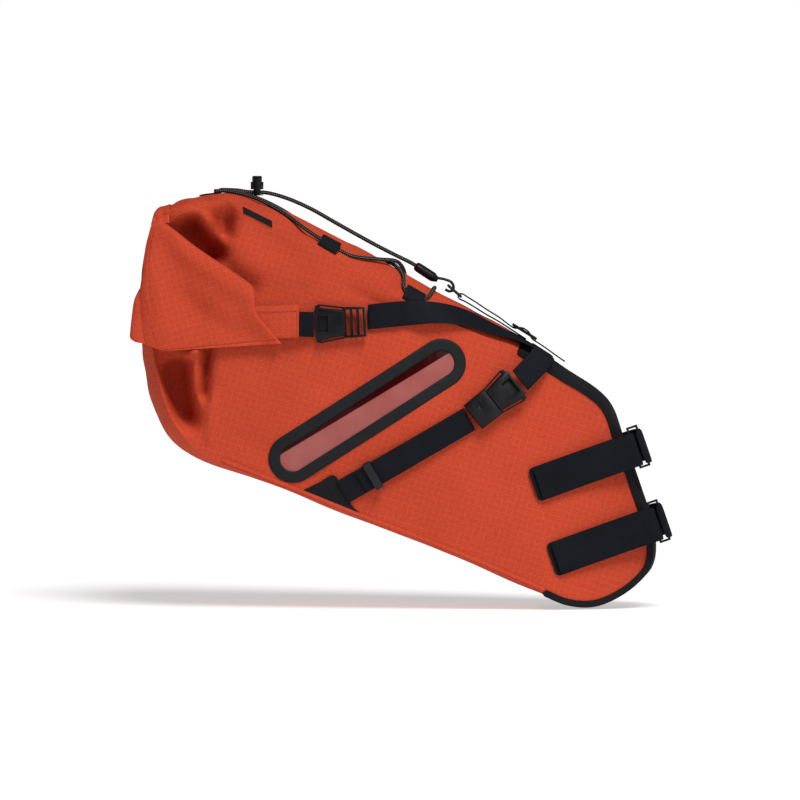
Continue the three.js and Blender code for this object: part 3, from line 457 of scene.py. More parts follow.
def film_finish(name):
    """Clear film over the bag's inside, with light and shade painted into its colour: a painted pink where
    light reaches the lining, with the glare of the light on the film, and a painted dark red shade along its
    upper edge, where the frame shades it. The share is the height over the window's core line, from the cloth
    map."""
    made, put, calc, feed = new_finish(name, Specular_IOR_Level=0.08)
    spot = put("SeparateXYZ", {0: put("UVMap", uv_map="cloth")[0]})
    # Painted shade: a dark red band along the film's upper edge stands for the frame's shadow on the lining.
    edge = calc("SUBTRACT", spot[1], calc("MULTIPLY_ADD", spot[0], -0.028, 0.0098))
    shade = calc("MULTIPLY_ADD", edge, 900.0, 0.5, clamp=True)
    wear = worn(put, calc, feed, 0.03, 0.1, 0.1)
    # Painted light: the pale pink stands for the lit lining and the glare on the film, varied a little by
    # patches.
    painted_lit_pink = mixed(put, wear["Patches"], (0.29, 0.072, 0.064), (0.33, 0.100, 0.090))
    feed("Base Color", mixed(put, shade, painted_lit_pink, (0.030, 0.0008, 0.0006)))
    feed("Normal", relief(put, wear["Patches"], 0.15, 0.002))
    return made


WINDOW_RUBBER = rubber_finish("window rubber", (0.006, 0.007, 0.008), (0.012, 0.013, 0.015), 0.52)

for name, side in SIDES.items():
    v = np.linspace(0, 1, 15)
    ring = np.stack([capsule_line(r, 220) for r in FRAME_IN + (FRAME_OUT - FRAME_IN) * v], 1)
    x, z = ring[..., 0], ring[..., 1]
    rounded = 1 - np.abs(2 * v - 1) ** 8
    lift = 0.5 + 1.1 * rounded + 0.25 * np.exp(-((v - 0.1) / 0.05) ** 2)
    face = reach_at(x, z)
    band = side_sheet(f"window_rim_{name}", side, x, face + lift, face - 0.2, z, along_bag(x, z), loop=True)
    sew(band, "bag", WINDOW_RUBBER, "window_rubber", f"window_frame_{name}")

    core = WINDOW_FRONT - WINDOW_REAR
    length = float(np.hypot(*core))
    u, v = grid(110, 17, (-FILM_HALF, length + FILM_HALF), (-1, 1))
    past = np.maximum(np.maximum(-u, u - length), 0)
    b = v * np.sqrt(np.maximum(FILM_HALF**2 - past**2, 4))
    ax, az = core / length
    x, z = WINDOW_REAR[0] + u * ax - b * az, WINDOW_REAR[1] + u * az + b * ax
    face = reach_at(x, z) - 0.4
    film = side_sheet(f"window_pane_{name}", side, x, face, face - 0.8, z, np.stack([u, b], -1))
    sew(film, "bag", film_finish(f"window film {name}"), "window_film", f"window_film_{name}")

# ---- top, bottom and nose panels ----
# Three panels bridge the sides: orange ripstop over the top and underneath, and a stiffened black panel
# that goes down the front, where the bag bears on the seatpost. All are sewn to the sides with the seam
# turned in.

TOP_FOLDS = [
    ((5.0, 0.95), (6.3, 0.25), 0.16, -3.4, 1.6), ((5.9, 1.0), (6.5, -0.2), 0.14, 3.2, 1.6),
    ((6.6, 1.0), (7.4, 0.1), 0.15, -4.2, 1.5), ((7.7, 1.0), (7.0, 0.2), 0.15, 3.0, 1.5),
    ((4.0, 1.0), (4.6, 0.1), 0.2, -2.2, 1.8), ((3.0, 0.95), (2.2, -0.4), 0.22, -2.4, 1.6),
    ((8.1, 0.9), (9.0, -0.3), 0.2, -2.2, 1.8), ((1.2, 0.2), (2.4, 0.9), 0.2, 1.8, 1.6),
    ((8.6, 1.0), (9.4, 0.4), 0.12, 1.6, 1.5),
]


def unit(v):
    """The same directions with a length of one."""
    return v / np.linalg.norm(v, axis=-1, keepdims=True)


def flow(line, t):
    """Direction of a spline by a short step either side."""
    step = 1e-4
    return spline(line, np.minimum(t + step, 1)) - spline(line, np.maximum(t - step, 0))


def bridge_face(line, t, q, half, crown, lift):
    """A panel across the bag: from its seam line a parabola of the crown's height rises square to the seam,
    and q from -1 to 1 runs over the half width."""
    p, along = spline(line, t), unit(flow(line, t))
    out = crown * (1 - q * q) + lift
    return np.stack([p[..., 0] - along[..., 1] * out, q * half, p[..., 1] + along[..., 0] * out], -1)


def inside_half(t):
    """Half width between the sides."""
    g = spline(SEWN[:, 4:7], t)
    return g[..., 0] - CLOTH - 0.4 - g[..., 2] / 20


def dome(t):
    """Crown of the top and sag of the bottom at seam share t."""
    rows = np.column_stack([np.arange(LAST_SEAM + 1), SEWN[:, 7:9]])
    return spline(rows, t)[..., 1:3]


def top_face(station, q, lift=0.0):
    """The top panel at a station along the seams, counted in rows of the sewing table."""
    t = station / LAST_SEAM
    return bridge_face(SEWN[:, 2:4], t, q, inside_half(t), dome(t)[..., 0], lift)


def bottom_face(station, q, lift=0.0):
    """The bottom panel likewise, which sags."""
    t = station / LAST_SEAM
    return bridge_face(SEWN[:, 0:2], t, q, inside_half(t), -dome(t)[..., 1], -lift)


def top_folds(station, q):
    """Folds of the top cloth, drawn in by the shock cord and mirrored with a small change between sides."""
    near = sum(crease(station, -q, *f) for f in TOP_FOLDS)
    far = sum(crease(station + 0.15, q, *f) for f in TOP_FOLDS)
    slow = 0.5 * np.sin(3.1 * station + 2 * q) + 0.4 * np.sin(5.3 * station - 3 * q + 1)
    middle = np.exp(-((q / 0.35) ** 2))
    at_seam = 1 - ease(np.abs(q), 0.93, 1.0)
    return (near + far) * (1 - 0.75 * middle) * at_seam + (0.4 * slow + 0.5) * (1 - q * q)


def bottom_folds(station, q):
    """Slack of the bottom cloth: two crossing waves, and a deeper sag at the rear."""
    waves = 0.5 * np.sin(2.3 * station + 3 * q) + 0.4 * np.sin(4.1 * station - 2 * q)
    return (waves + 4 * (1 - ease(station, 3.5, 6))) * (1 - q * q)


def run_along(points):
    """Length run from a line's first point to each of its points."""
    return np.concatenate([[0], np.cumsum(np.linalg.norm(np.diff(points, axis=0), axis=1))])


def cloth_map(points):
    """Cloth map of a panel across the bag: the length run down its middle, and the distance across."""
    run = run_along(points[:, points.shape[1] // 2])
    return np.stack([np.broadcast_to(run[:, None], points.shape[:2]), points[..., 1]], -1)


ACROSS = [("top", top_face, top_folds, 220, 90), ("bottom", bottom_face, bottom_folds, 200, 60)]
for name, face, folds, rows, columns in ACROSS:
    s, q = grid(rows, columns, (0.0, 9.98), (-1, 1))
    lift = folds(s, q)
    outer, inner = face(s, q, lift), face(s, q, lift - CLOTH)
    panel = cloth_mesh(f"{name}_cloth", outer, inner, cloth_map(outer))
    sew(panel, "bag", ORANGE_RIPSTOP, "shell_fabric", f"{name}_panel", corner=60)

# The bottom panel's rear edge stands up behind the roll as a soft hem.
u, q = grid(16, 80, (0, 1), (-1, 1))
foot = bottom_face(0 * q, q, 4 * (1 - q * q) - 0.3)
rise = spline([[0, 0, -3], [-0.4, 0, 0], [0, 0, 5], [2.5, 0, 8.5], [6.5, 0, 9]], u)
outer = foot + rise
hem = cloth_mesh("mouth_hem", outer, outer + np.array([1.2, 0, 0]), np.stack([u * 12, q * 64], -1))
sew(hem, "bag", ORANGE_RIPSTOP, "shell_fabric", corner=60)

NOSE_ROWS = np.vstack([SEWN[10:, [2, 3, 4, 7]], SEWN[:9:-1, [0, 1, 4, 8]]])
LEAN = math.radians(19)


def coarse_finish(name, dark, light, pitch):
    """Black coated cloth: a basket weave of that pitch in bump, and a faint sheen."""
    made, put, calc, feed = new_finish(name, Sheen_Weight=0.01, Sheen_Roughness=0.4, Specular_IOR_Level=0.12)
    cloth = put("SeparateXYZ", {0: put("UVMap", uv_map="cloth")[0]})
    waves = [calc("SINE", calc("MULTIPLY", cloth[k], 2 * math.pi / pitch)) for k in (0, 1)]
    weave = calc("MULTIPLY", *waves)
    wear = worn(put, calc, feed, 0.04, 0.3, 0.5)
    share = calc("MULTIPLY_ADD", weave, 0.5, 0.5)
    feed("Base Color", rubbed(put, calc, wear, share, dark, light, 0.4, 1.6))
    feed("Normal", relief(put, weave, 0.5, 0.0003))
    return made


BLACK_CLOTH = coarse_finish("black coated cloth", (0.003, 0.003, 0.004), (0.008, 0.008, 0.010), 0.0011)


def nose_face(u, q, lift):
    """The nose panel: the same bridge on a line that runs down the front seam and back under the bag."""
    g = spline(np.column_stack([NOSE_ROWS[:, 2:4], np.zeros(len(NOSE_ROWS))]), u)
    return bridge_face(NOSE_ROWS[:, 0:2], u, q, g[..., 0] - CLOTH - 0.4, g[..., 1], lift)


def on_post(point):
    """Forward, across and up of a point in the seatpost's own axes, which lean back."""
    x, y, z = point[..., 0], point[..., 1], point[..., 2]
    cos, sin = math.cos(LEAN), math.sin(LEAN)
    return np.stack([x * cos + z * sin, y, z * cos - x * sin], -1)


u, q = grid(220, 60, (0, 1), (-1, 1))
outer, inner = nose_face(u, q, 0.0), nose_face(u, q, -CLOTH)
spot = on_post((outer[:-1, :-1] + outer[1:, 1:]) / 2)
opening = (np.abs(spot[..., 2]) < 50) & (np.abs(spot[..., 1]) < 16.5) & (spot[..., 0] > -20)
nose = cloth_mesh("nose_cloth", outer, inner, cloth_map(outer), keep=~opening)
sew(nose, "bag", BLACK_CLOTH, "nose_fabric", "nose_panel", corner=60)
GRIP_RUBBER = rubber_finish("grip rubber", (0.010, 0.010, 0.011), (0.022, 0.022, 0.024), 0.6)
BOARD = rubber_finish("stiffener board", (0.012, 0.012, 0.013), (0.020, 0.020, 0.022), 0.5)


def dress(node, finish):
    """Gives a CAD piece that stays as it is a better material."""
    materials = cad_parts[node].data.materials
    materials.clear()
    materials.append(finish)


dress("seatpost_pad", GRIP_RUBBER)
dress("nose_stiffener", BOARD)
dress("base_stiffener", BOARD)

# ---- edge bindings ----
# A narrow orange tape is folded over the bottom seam on each side and stitched down, and black tape binds
# the seam round the nose. Both stand a little off the cloth.


def narrowed(run, width, ends):
    """Half width along a strip, which narrows at both ends as a quarter circle of radius ends."""
    from_end = np.minimum(run, run[-1] - run)
    return width / 2 - ends + np.sqrt(np.maximum(ends**2 - np.maximum(ends - from_end, 0) ** 2, 0))


def flat_section(points, *powers):
    """A superellipse, -1 to 1 across and out: cosine and sine, each raised to 2 over its power."""
    a = 2 * np.pi * np.arange(points) / points
    return [np.sign(k) * np.abs(k) ** (2 / power) for k, power in zip((np.cos(a), np.sin(a)), powers)]


def tube_mesh(name, grid, uv):
    """A tube through rings of points, both ends closed by bands of quads drawn in to the middle."""
    rings, sides = grid.shape[:2]
    points = np.concatenate([grid.reshape(-1, 3), grid[[0, -1]].mean(1)])
    flat = np.concatenate([uv.reshape(-1, 2), uv[[0, -1]].mean(1)])
    i = np.arange(rings * sides).reshape(rings, sides)
    a, b = i[:-1], i[1:]
    quads = np.stack([a, np.roll(a, -1, 1), np.roll(b, -1, 1), b], -1).reshape(-1, 4)
    ends = []
    for ring, centre, flip in ((i[0], rings * sides, False), (i[-1], rings * sides + 1, True)):
        one, two, three = ring[0::2], np.roll(ring, -1)[0::2], np.roll(ring, -2)[0::2]
        quad = np.stack([np.full(len(one), centre), three, two, one], -1)
        ends.append(quad[:, ::-1] if flip else quad)
    faces = np.vstack([quads, *ends])
    mid = rings // 2
    out = grid[mid, 0] - grid[mid].mean(0)
    face_way = np.cross(grid[mid, 1] - grid[mid, 0], grid[mid - 1, 0] - grid[mid, 0])
    if (face_way * out).sum() > 0:
        faces = faces[:, ::-1]
    return made_piece(name, points, faces, flat)


def binding(name, side, seam, reach, inward, width, thickness):
    """A tape along a seam of the side view: a flat section carried along it at the side's reach."""
    path = np.stack([seam[:, 0], side * reach, seam[:, 1]], -1)
    across = np.stack([inward[:, 0], 0 * reach, inward[:, 1]], -1)
    run = run_along(path)
    w, h = flat_section(20, 4, 4)
    off = w * narrowed(run, width, 1.0)[:, None]
    out = np.array([0, side, 0]) * (h * thickness / 2)[:, None]
    rings = path[:, None] + across[:, None] * off[..., None] + out
    return tube_mesh(name, rings, np.stack([np.broadcast_to(run[:, None], off.shape), off], -1))


for name, side in SIDES.items():
    t, v = np.linspace(0.30, 0.668, 130), np.full(130, 0.012)
    low, up = spline(SEWN[:, 0:2], t), spline(SEWN[:, 2:4], t) - spline(SEWN[:, 0:2], t)
    seam = low + up * v[:, None]
    tape = binding(f"bottom_binding_{name}", side, seam, panel_reach(t, v) + 0.7, unit(up), 4.6, 1.6)
    sew(tape, "bag", ORANGE_RIPSTOP, "shell_fabric")

    seam = spline(NOSE_ROWS[:, 0:2], np.linspace(0, 1, 160))
    inward = unit(np.gradient(seam, axis=0)) @ np.array([[0, -1], [1, 0]])
    seam = seam - inward * 0.8
    tape = binding(f"nose_binding_{name}", side, seam, reach_at(*seam.T) + 0.9, inward, 7.0, 1.8)
    sew(tape, "bag", BLACK_CLOTH, "nose_fabric")

# ---- seatpost straps ----
# Two wide straps of hook-and-loop tape. Each is sewn to the left side, goes round the post, through a
# plastic ring on the right and back over itself: the flap closes on a short anchor strip that is sewn to
# the right side.

POST_UP = np.array([-math.sin(LEAN), 0, math.cos(LEAN)])
POST_FORWARD = np.array([math.cos(LEAN), 0, math.sin(LEAN)])
POST_RUN = POST_FORWARD[[0, 2]]
POST_STRAP = 34
POST_STRAPS = {"upper": (41, -97.5, 0), "lower": (-36.5, -105, -5)}


def over_side(side, rows, along, fixed=None):
    """Places a strap on a side. rows hold x, z and height over the cloth; a point w off the strap's middle
    and level over its mid layer is moved square to the run in the side view, then set out to the side's
    reach there. fixed gives a distance from the middle plane instead, by a share that runs from 0 to 1."""
    line = np.array(rows, float)[:, [0, 2, 1]]

    def spot(u, w, level):
        p, d = spline(line, u), flow(line, u)
        run = d[..., 0] * along[0] + d[..., 2] * along[1]
        size = np.hypot(run, d[..., 1])
        back = -d[..., 1] / size * level
        x = p[..., 0] - along[1] * w + along[0] * back
        z = p[..., 2] + along[0] * w + along[1] * back
        base = reach_at(x, z)
        if fixed:
            share, distance = fixed(u)
            base = base + (distance - base) * share
        return np.stack([x, side * (base + p[..., 1] + run / size * level), z], -1)
    return spot


def in_air(path, across):
    """Places a strap on a free path: w runs along the across direction, level square to it and the path."""
    path, across = np.array(path, float), np.array(across, float)

    def spot(u, w, level):
        sideways = unit(spline(across, u))
        out = unit(np.cross(flow(path, u), sideways))
        return spline(path, u) + sideways * w[..., None] + out * level[..., None]
    return spot


def row_on(spot, u, w, level):
    """Points on a strap. Any of the share along it, the place across it and the level may be one number."""
    return spot(*np.broadcast_arrays(u, w, level))


def woven_strip(name, spot, width, thickness, steps, ends=0.0, ring_points=24, power=6):
    """A strap as a tube round its placed middle line: its section is a superellipse, and its half width
    shrinks as a quarter circle of radius ends at both ends."""
    u = np.linspace(0, 1, steps)
    run = run_along(spot(u, 0 * u, 0 * u))
    if ends:
        u = np.interp(np.linspace(0, 1, steps) * run[-1], run, u)
        tips = np.array([0, 0.02, 0.08, 0.2, 0.4, 0.7]) * ends
        between = np.linspace(ends, run[-1] - ends, steps)
        wanted = np.unique(np.concatenate([tips, between, run[-1] - tips]))
        u = np.interp(wanted, np.linspace(0, run[-1], steps), u)
        run = wanted
    w, h = flat_section(ring_points, power, 3)
    off = w * narrowed(run, width, ends)[:, None]
    rings = row_on(spot, u[:, None], off, h * thickness / 2)
    return tube_mesh(name, rings, np.stack([np.broadcast_to(run[:, None], off.shape), off], -1))


def stitch_row(path, length, gap, radius):
    """Stitches along a path: spindles of four rings of six points, one every length and gap, laid on
    straight steps of the path. Gives points and quads."""
    run = run_along(path)
    starts = np.arange(gap / 2, run[-1] - length, length + gap)
    head, foot = ([np.interp(at, run, line) for line in path.T] for at in (starts, starts + length))
    head, along = np.stack(head, -1), np.stack(foot, -1) - np.stack(head, -1)
    side = unit(np.cross(along, [0.3, 0.2, 1.0]))
    up = unit(np.cross(side, along))
    ring = 2 * np.pi * np.arange(6) / 6
    share, size = np.array([0, 0.15, 0.85, 1]), np.array([0.35, 1, 1, 0.35]) * radius
    points = (head[:, None, None] + along[:, None, None] * share[None, :, None, None]
              + side[:, None, None] * (size[:, None] * np.cos(ring))[None, ..., None]
              + up[:, None, None] * (size[:, None] * np.sin(ring))[None, ..., None])
    near, far = np.arange(6), (np.arange(6) + 1) % 6
    walls = [np.stack([near, near + 6, far + 6, far], -1) + 6 * k for k in range(3)]
    ends = np.array([[0, 1, 2, 3], [0, 3, 4, 5], [21, 20, 19, 18], [23, 22, 21, 18]])
    faces = np.vstack(walls + [ends])
    faces = (faces[None] + 24 * np.arange(len(starts))[:, None, None]).reshape(-1, 4)
    return points.reshape(-1, 3), faces


def stitching(name, rows, body, finish, slot, length=2.0, gap=1.2, radius=0.3):
    """Rows of stitches as one piece."""
    made = [stitch_row(row, length, gap, radius) for row in rows]
    first = np.cumsum([0] + [len(points) for points, quads in made])
    points = np.concatenate([points for points, quads in made])
    quads = np.concatenate([quads + count for (_, quads), count in zip(made, first)])
    sew(made_piece(name, points, quads, points[:, [0, 2]]), body, finish, slot, corner=80)


def tape_finish(name, dark, light, pile):
    """Hook-and-loop tape: a dense pile from fine noise over the cloth map, and rubbed patches."""
    made, put, calc, feed = new_finish(name, Sheen_Weight=0.02, Sheen_Roughness=0.5, Specular_IOR_Level=0.1)
    cloth = put("UVMap", uv_map="cloth")[0]
    fuzz = put("TexNoise", {"Vector": cloth, "Scale": pile, "Detail": 3.0, "Roughness": 0.7})["Fac"]
    wear = worn(put, calc, feed, 0.03, 0.2, 0.75)
    share = calc("MULTIPLY_ADD", fuzz, 2.0, -0.5, clamp=True)
    feed("Base Color", rubbed(put, calc, wear, share, dark, light, 0.35, 1.7))
    feed("Normal", relief(put, fuzz, 0.45, 0.0004))
    return made


def thread_finish(name, colour):
    """Sewing thread: twisted strands as fine slanted waves."""
    made, put, calc, feed = new_finish(name, Roughness=0.6, Specular_IOR_Level=0.2)
    waves = {"Vector": put("TexCoord")["Object"], "Scale": 900.0, "Distortion": 1.0}
    twist = put("TexWave", waves, bands_direction="DIAGONAL")["Fac"]
    feed("Base Color", mixed(put, twist, colour, tuple(1.7 * c for c in colour)))
    feed("Normal", relief(put, twist, 0.4, 0.0002))
    return made


HOOK_TAPE = tape_finish("hook and loop tape", (0.002, 0.0025, 0.004), (0.006, 0.007, 0.010), 900.0)
BLACK_THREAD = thread_finish("black thread", (0.006, 0.006, 0.007))
ORANGE_THREAD = thread_finish("orange thread", (0.26, 0.030, 0.012))


def post_rows(up, rows):
    """Rows of x, z and height from rows of forward and height, at a height up the post."""
    return [[*(POST_FORWARD * f + POST_UP * up)[[0, 2]], lift] for f, lift in rows]


def outline_walk(spot, half, level, inset, first, last):
    """A stitch line round a strap's end: along one edge, round the end and back, inset from the edges."""
    u = np.linspace(first, last, 80)
    edge = half - inset
    sideways = np.concatenate([np.full(80, -edge), np.linspace(-edge, edge, 24), np.full(80, edge)])
    return row_on(spot, np.concatenate([u, np.full(24, last), u[::-1]]), sideways, level)


def off_the_fold(u):
    """The flap's first part stands at the fold's distance, and the rest settles on the side's reach."""
    return np.clip((0.62 - u) / 0.2, 0, 1), 26


for name, (up, tail, back) in POST_STRAPS.items():
    rows = [[tail - 5, 1.4], [tail * 0.7, 1.4], [tail * 0.4, 1.4], [-22, 2], [-10, 3.5], [back - 1, 5]]
    under = over_side(-1, post_rows(up, rows), POST_RUN)
    anchor = woven_strip(f"post_anchor_tape_{name}", under, POST_STRAP + 1.0, 2.2, 60, ends=4.5)
    sew(anchor, "bag", HOOK_TAPE, "hook_tape", f"post_anchor_{name}")

    path = []
    for forward, lift in ((-62, 3), (-36, 3), (-16, 3.6)):
        p = POST_FORWARD * forward + POST_UP * up
        path.append(p + np.array([0, reach_at(p[0], p[2]) + lift, 0]))
    front = [(0 - back, 29.5), (10, 24), (15.4, 12), (17, 0), (17.3, -16), (17.5, -29), (17.4, -35.6),
             (15.6, -39.1), (13.4, -39.8), (11.6, -39.6)]
    path += [POST_FORWARD * (f + back) + POST_UP * up + np.array([0, y, 0]) for f, y in front]
    round_post = in_air(path, [POST_UP] * len(path))
    loop = woven_strip(f"post_strap_{name}", round_post, POST_STRAP, 1.9, 150, ends=2.5)
    sew(loop, "bag", HOOK_TAPE, "hook_tape", f"post_loop_{name}")

    rows = [[f + back, y - 26] for f, y in ((8, 34.8), (8.2, 36.6), (7.4, 38.2), (5, 39.1), (-2, 39.3))]
    rows += [[-14, 12.6], [tail * 0.35, 8.2], [tail * 0.6, 5.4], [tail * 0.85, 4.2], [tail, 4]]
    over = over_side(-1, post_rows(up, rows), POST_RUN, off_the_fold)
    flap = woven_strip(f"post_strap_end_{name}", over, POST_STRAP, 2.4, 150, ends=2.5)
    sew(flap, f"post_flap_{name}", HOOK_TAPE, "hook_tape", f"post_flap_{name}")
    border = outline_walk(over, POST_STRAP / 2, 1.32, 1.9, 0.42, 0.985)
    stitching(f"post_strap_stitches_{name}", [border], f"post_flap_{name}", BLACK_THREAD, "hook_tape",
              2.2, 1.4, 0.34)

# ---- moulded fittings ----
# Seatpost rings, four V buckles and the strap adjuster are injection moulded in black nylon. Each buckle
# has a frame that the strap is laced through and a hook that drops into it.


def plastic_finish(name, dark, light, least):
    """Moulded nylon: fine spark grain in bump, and handling patches in roughness."""
    made, put, calc, feed = new_finish(name, Specular_IOR_Level=0.2)
    grain = put("TexNoise", {"Vector": put("TexCoord")["Object"], "Scale": 2600.0, "Detail": 2.0})["Fac"]
    wear = worn(put, calc, feed, 0.012, 0.25, least)
    feed("Base Color", mixed(put, wear["Patches"], dark, light))
    feed("Normal", relief(put, grain, 0.16, 0.0003))
    return made


BLACK_NYLON = plastic_finish("black nylon", (0.002, 0.002, 0.003), (0.006, 0.006, 0.008), 0.26)


def moulded(node, body, finish=BLACK_NYLON, slot="buckle_plastic", edge=0.5):
    """A merged copy of a fitting with its edges rounded by a bevel, as a moulding has them."""
    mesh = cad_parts[node].data.copy()
    mesh.transform(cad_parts[node].matrix_world)
    work = bmesh.new()
    work.from_mesh(mesh)
    bmesh.ops.remove_doubles(work, verts=work.verts, dist=2e-6)
    bmesh.ops.dissolve_limit(work, angle_limit=0.01, verts=work.verts, edges=work.edges)
    work.to_mesh(mesh)
    work.free()
    mesh.polygons.foreach_set("use_smooth", np.ones(len(mesh.polygons), bool))
    piece = placed(node + "_moulding", mesh)
    bevel = piece.modifiers.new("rounded", "BEVEL")
    bevel.width, bevel.segments, bevel.angle_limit = edge / 1000, 2, math.radians(35)
    bevel.use_clamp_overlap = True
    bevel.harden_normals = True
    sew(piece, body, finish, slot, node, corner=None)


for name in POST_STRAPS:
    moulded(f"post_ring_{name}", "bag")
for name in SIDES:
    moulded(f"side_buckle_frame_{name}", "bag")
    moulded(f"side_buckle_hook_{name}", f"ear_{name}", edge=0.6)
    moulded(f"rail_buckle_frame_{name}", "bag")
    moulded(f"rail_buckle_hook_{name}", f"rail_loop_{name}", edge=0.6)

# ---- webbing on the sides ----
# Black nylon webbing, 25 mm wide. The rail strap starts on a sewn black patch, runs up to its buckle and
# comes back on itself through a rubber keeper; the closing strap runs from its buckle over the top edge to
# the nose.

WEBBING, WEB = 25.0, 1.5
RAIL_FROM, RAIL_TO = np.array([-301, 0.0]), np.array([-174.5, 73.0])
RAIL_RUN = (RAIL_TO - RAIL_FROM) / np.hypot(*(RAIL_TO - RAIL_FROM))


def webbing_finish(name, dark, light, rib):
    """Woven nylon: waves over the cloth map give ribs across the strap and fine cords along it."""
    made, put, calc, feed = new_finish(name, Sheen_Weight=0.02, Sheen_Roughness=0.3, Specular_IOR_Level=0.1,
                                       Sheen_Tint=(0.6, 0.65, 0.9, 1))
    spot = put("SeparateXYZ", {0: put("UVMap", uv_map="cloth")[0]})
    ribs = calc("SINE", calc("MULTIPLY", spot[0], 2 * math.pi / rib))
    slant = calc("MULTIPLY", spot[0], 1500)
    cords = calc("SINE", calc("MULTIPLY_ADD", spot[1], 2 * math.pi / 0.0016, slant))
    height = calc("MULTIPLY_ADD", cords, 0.6, ribs)
    wear = worn(put, calc, feed, 0.025, 0.25, 0.45)
    share = calc("MULTIPLY_ADD", height, 0.3, 0.5, clamp=True)
    feed("Base Color", rubbed(put, calc, wear, share, dark, light, 0.35, 1.7))
    feed("Normal", relief(put, height, 0.35, 0.0003))
    return made


BLACK_WEBBING = webbing_finish("black webbing", (0.0015, 0.0015, 0.003), (0.005, 0.006, 0.010), 0.0011)


def rail_rows():
    """The rail strap up to its buckle, round the bar and back on top of itself."""
    def at(share, lift):
        return [*(RAIL_FROM + (RAIL_TO - RAIL_FROM) * share), lift]
    base = [at(s, 2.7) for s in (0, 0.2, 0.4, 0.6, 0.8, 0.97)]
    return base + [at(0.995, 3.8)] + [at(s, 4.9) for s in (0.97, 0.8, 0.6, 0.4, 0.14)]


def bridge_joint(piece, finish):
    """Gives a fold its material and bakes its place into its points."""
    piece.data.materials.append(finish)
    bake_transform(piece)


for name, side in SIDES.items():
    u, v = np.linspace(0, 1, 60), np.linspace(0, 1, 24)[:, None]
    low = spline([[-344, -1], [-312, -14], [-280, -26.5]], u)[:, None]
    high = spline([[-343, 0.5], [-326, 9], [-310, 16.5], [-300, 0], [-291, -15], [-279.5, -25]], u)[:, None]
    flat = low + (high - low) * v
    x, z = flat[..., 0], flat[..., 1]
    face = reach_at(x, z)
    patch = side_sheet(f"strap_patch_{name}", side, x, face + 1.2, face + 0.1, z, flat)
    sew(patch, "bag", BLACK_CLOTH, "nose_fabric", f"anchor_patch_{name}")

    spot = over_side(side, rail_rows(), RAIL_RUN)
    strap = woven_strip(f"rail_webbing_{name}", spot, WEBBING, WEB, 240)
    sew(strap, "bag", BLACK_WEBBING, "webbing", f"rail_strap_{name}")
    w = np.linspace(-10, 10, 12)
    box_lines = [row_on(spot, np.linspace(0.008, 0.115, 20), k, 0.85) for k in (-10.2, 10.2)]
    box_lines += [row_on(spot, k, w, 0.85) for k in (0.01, 0.05, 0.085)]
    box_lines += [row_on(spot, k, w, -0.85) for k in (0.962, 0.99)]
    stitching(f"rail_stitches_{name}", box_lines, "bag", BLACK_THREAD, "webbing")

    fold_a, fold_b = np.array([-110.5, 142.0]), np.array([-89.0, 128.0])
    edge = unit(np.array([(fold_b - fold_a)[0], 0, (fold_b - fold_a)[1]]))
    top = np.array([(fold_a + fold_b)[0] / 2, side * 40, (fold_a + fold_b)[1] / 2])
    low = np.array([-123.5, side * (reach_at(-146.5, 94) + 7.8), 111.5])
    middle = (top + low) / 2 + np.array([0, side * 3, 0])
    low_across = np.array([math.sin(0.67), 0, -math.cos(0.67)])
    free = in_air([top, middle, low], [edge, (edge + low_across) / 2, low_across])
    loop = woven_strip(f"rail_loop_webbing_{name}", free, WEBBING, 2.0, 60)
    sew(loop, f"rail_loop_{name}", BLACK_WEBBING, "webbing", f"rail_loop_{name}")
    w = np.linspace(-10.5, 10.5, 30)
    bars = [row_on(free, k, w, s) for k in (0.42, 0.62) for s in (1.1, -1.1)]
    stitching(f"rail_loop_stitches_{name}", bars, f"rail_loop_{name}", BLACK_THREAD, "webbing")
    path = [top + np.array([0, side * y, z]) for y, z in ((-9, 3.4), (-4, 2.2), (0.6, 0.2))]
    path.append(row_on(free, 0.1, np.zeros(1), 0.4)[0])
    root = woven_strip(f"rail_loop_root_{name}", in_air(path, [edge] * 4), WEBBING + 0.4, 1.8, 40)
    bridge_joint(root, BLACK_WEBBING)

    flat = np.array([
        [-243, 178.5, 5.2], [-259, 177, 5.2], [-269, 176, 5], [-273.5, 175.5, 4.7], [-275.5, 175, 3.8],
        [-273.5, 175.5, 2.9], [-269, 176, 2.6], [-254, 177.5, 2.8], [-234, 179, 3.4],
    ])
    over = np.array([
        [-216, 179.5, 65, 0.5], [-194, 177.5, 56, 0.75], [-174, 172, 46, 0.9], [-149, 161.5, 36, 1.15],
        [-129, 154, 28, 1.4], [-110, 144, 21.5, 1.52],
    ])
    reach = np.concatenate([reach_at(flat[:, 0], flat[:, 1]) + flat[:, 2], over[:, 2]])
    line = np.vstack([flat[:, :2], over[:, :2]])
    turned = np.concatenate([np.maximum(0, (flat[:, 0] + 262) / 28) * 0.2, over[:, 3]])
    closing = in_air(np.stack([line[:, 0], side * reach, line[:, 1]], -1),
                     np.stack([0 * turned, -side * np.sin(turned), np.cos(turned)], -1))
    strap = woven_strip(f"closing_webbing_{name}", closing, WEBBING, WEB, 320)
    sew(strap, "bag", BLACK_WEBBING, "webbing", f"side_strap_{name}")
    moulded(f"keeper_{name}", f"keeper_{name}", GRIP_RUBBER, "grip_rubber", 0.3)

# ---- rolled closure ----
# The mouth's cloth is pressed flat and rolled two turns across the rear, with a stiff strip inside, and a
# black webbing loop for a rear light is sewn down the middle of the cloth above it. Its ends are turned in
# and closed.

FLAP_HALF = 75.0
BACK_LINE = np.array([[-488.5, 278], [-495, 253], [-499, 231], [-501.5, 213], [-503, 198.5]])


def back_face(u, y, depth):
    """The cloth down the rear: its line in the side view, moved square to itself by depth."""
    p, d = spline(BACK_LINE, u), unit(flow(BACK_LINE, u))
    return np.stack([p[..., 0] - d[..., 1] * depth, y, p[..., 1] + d[..., 0] * depth], -1)


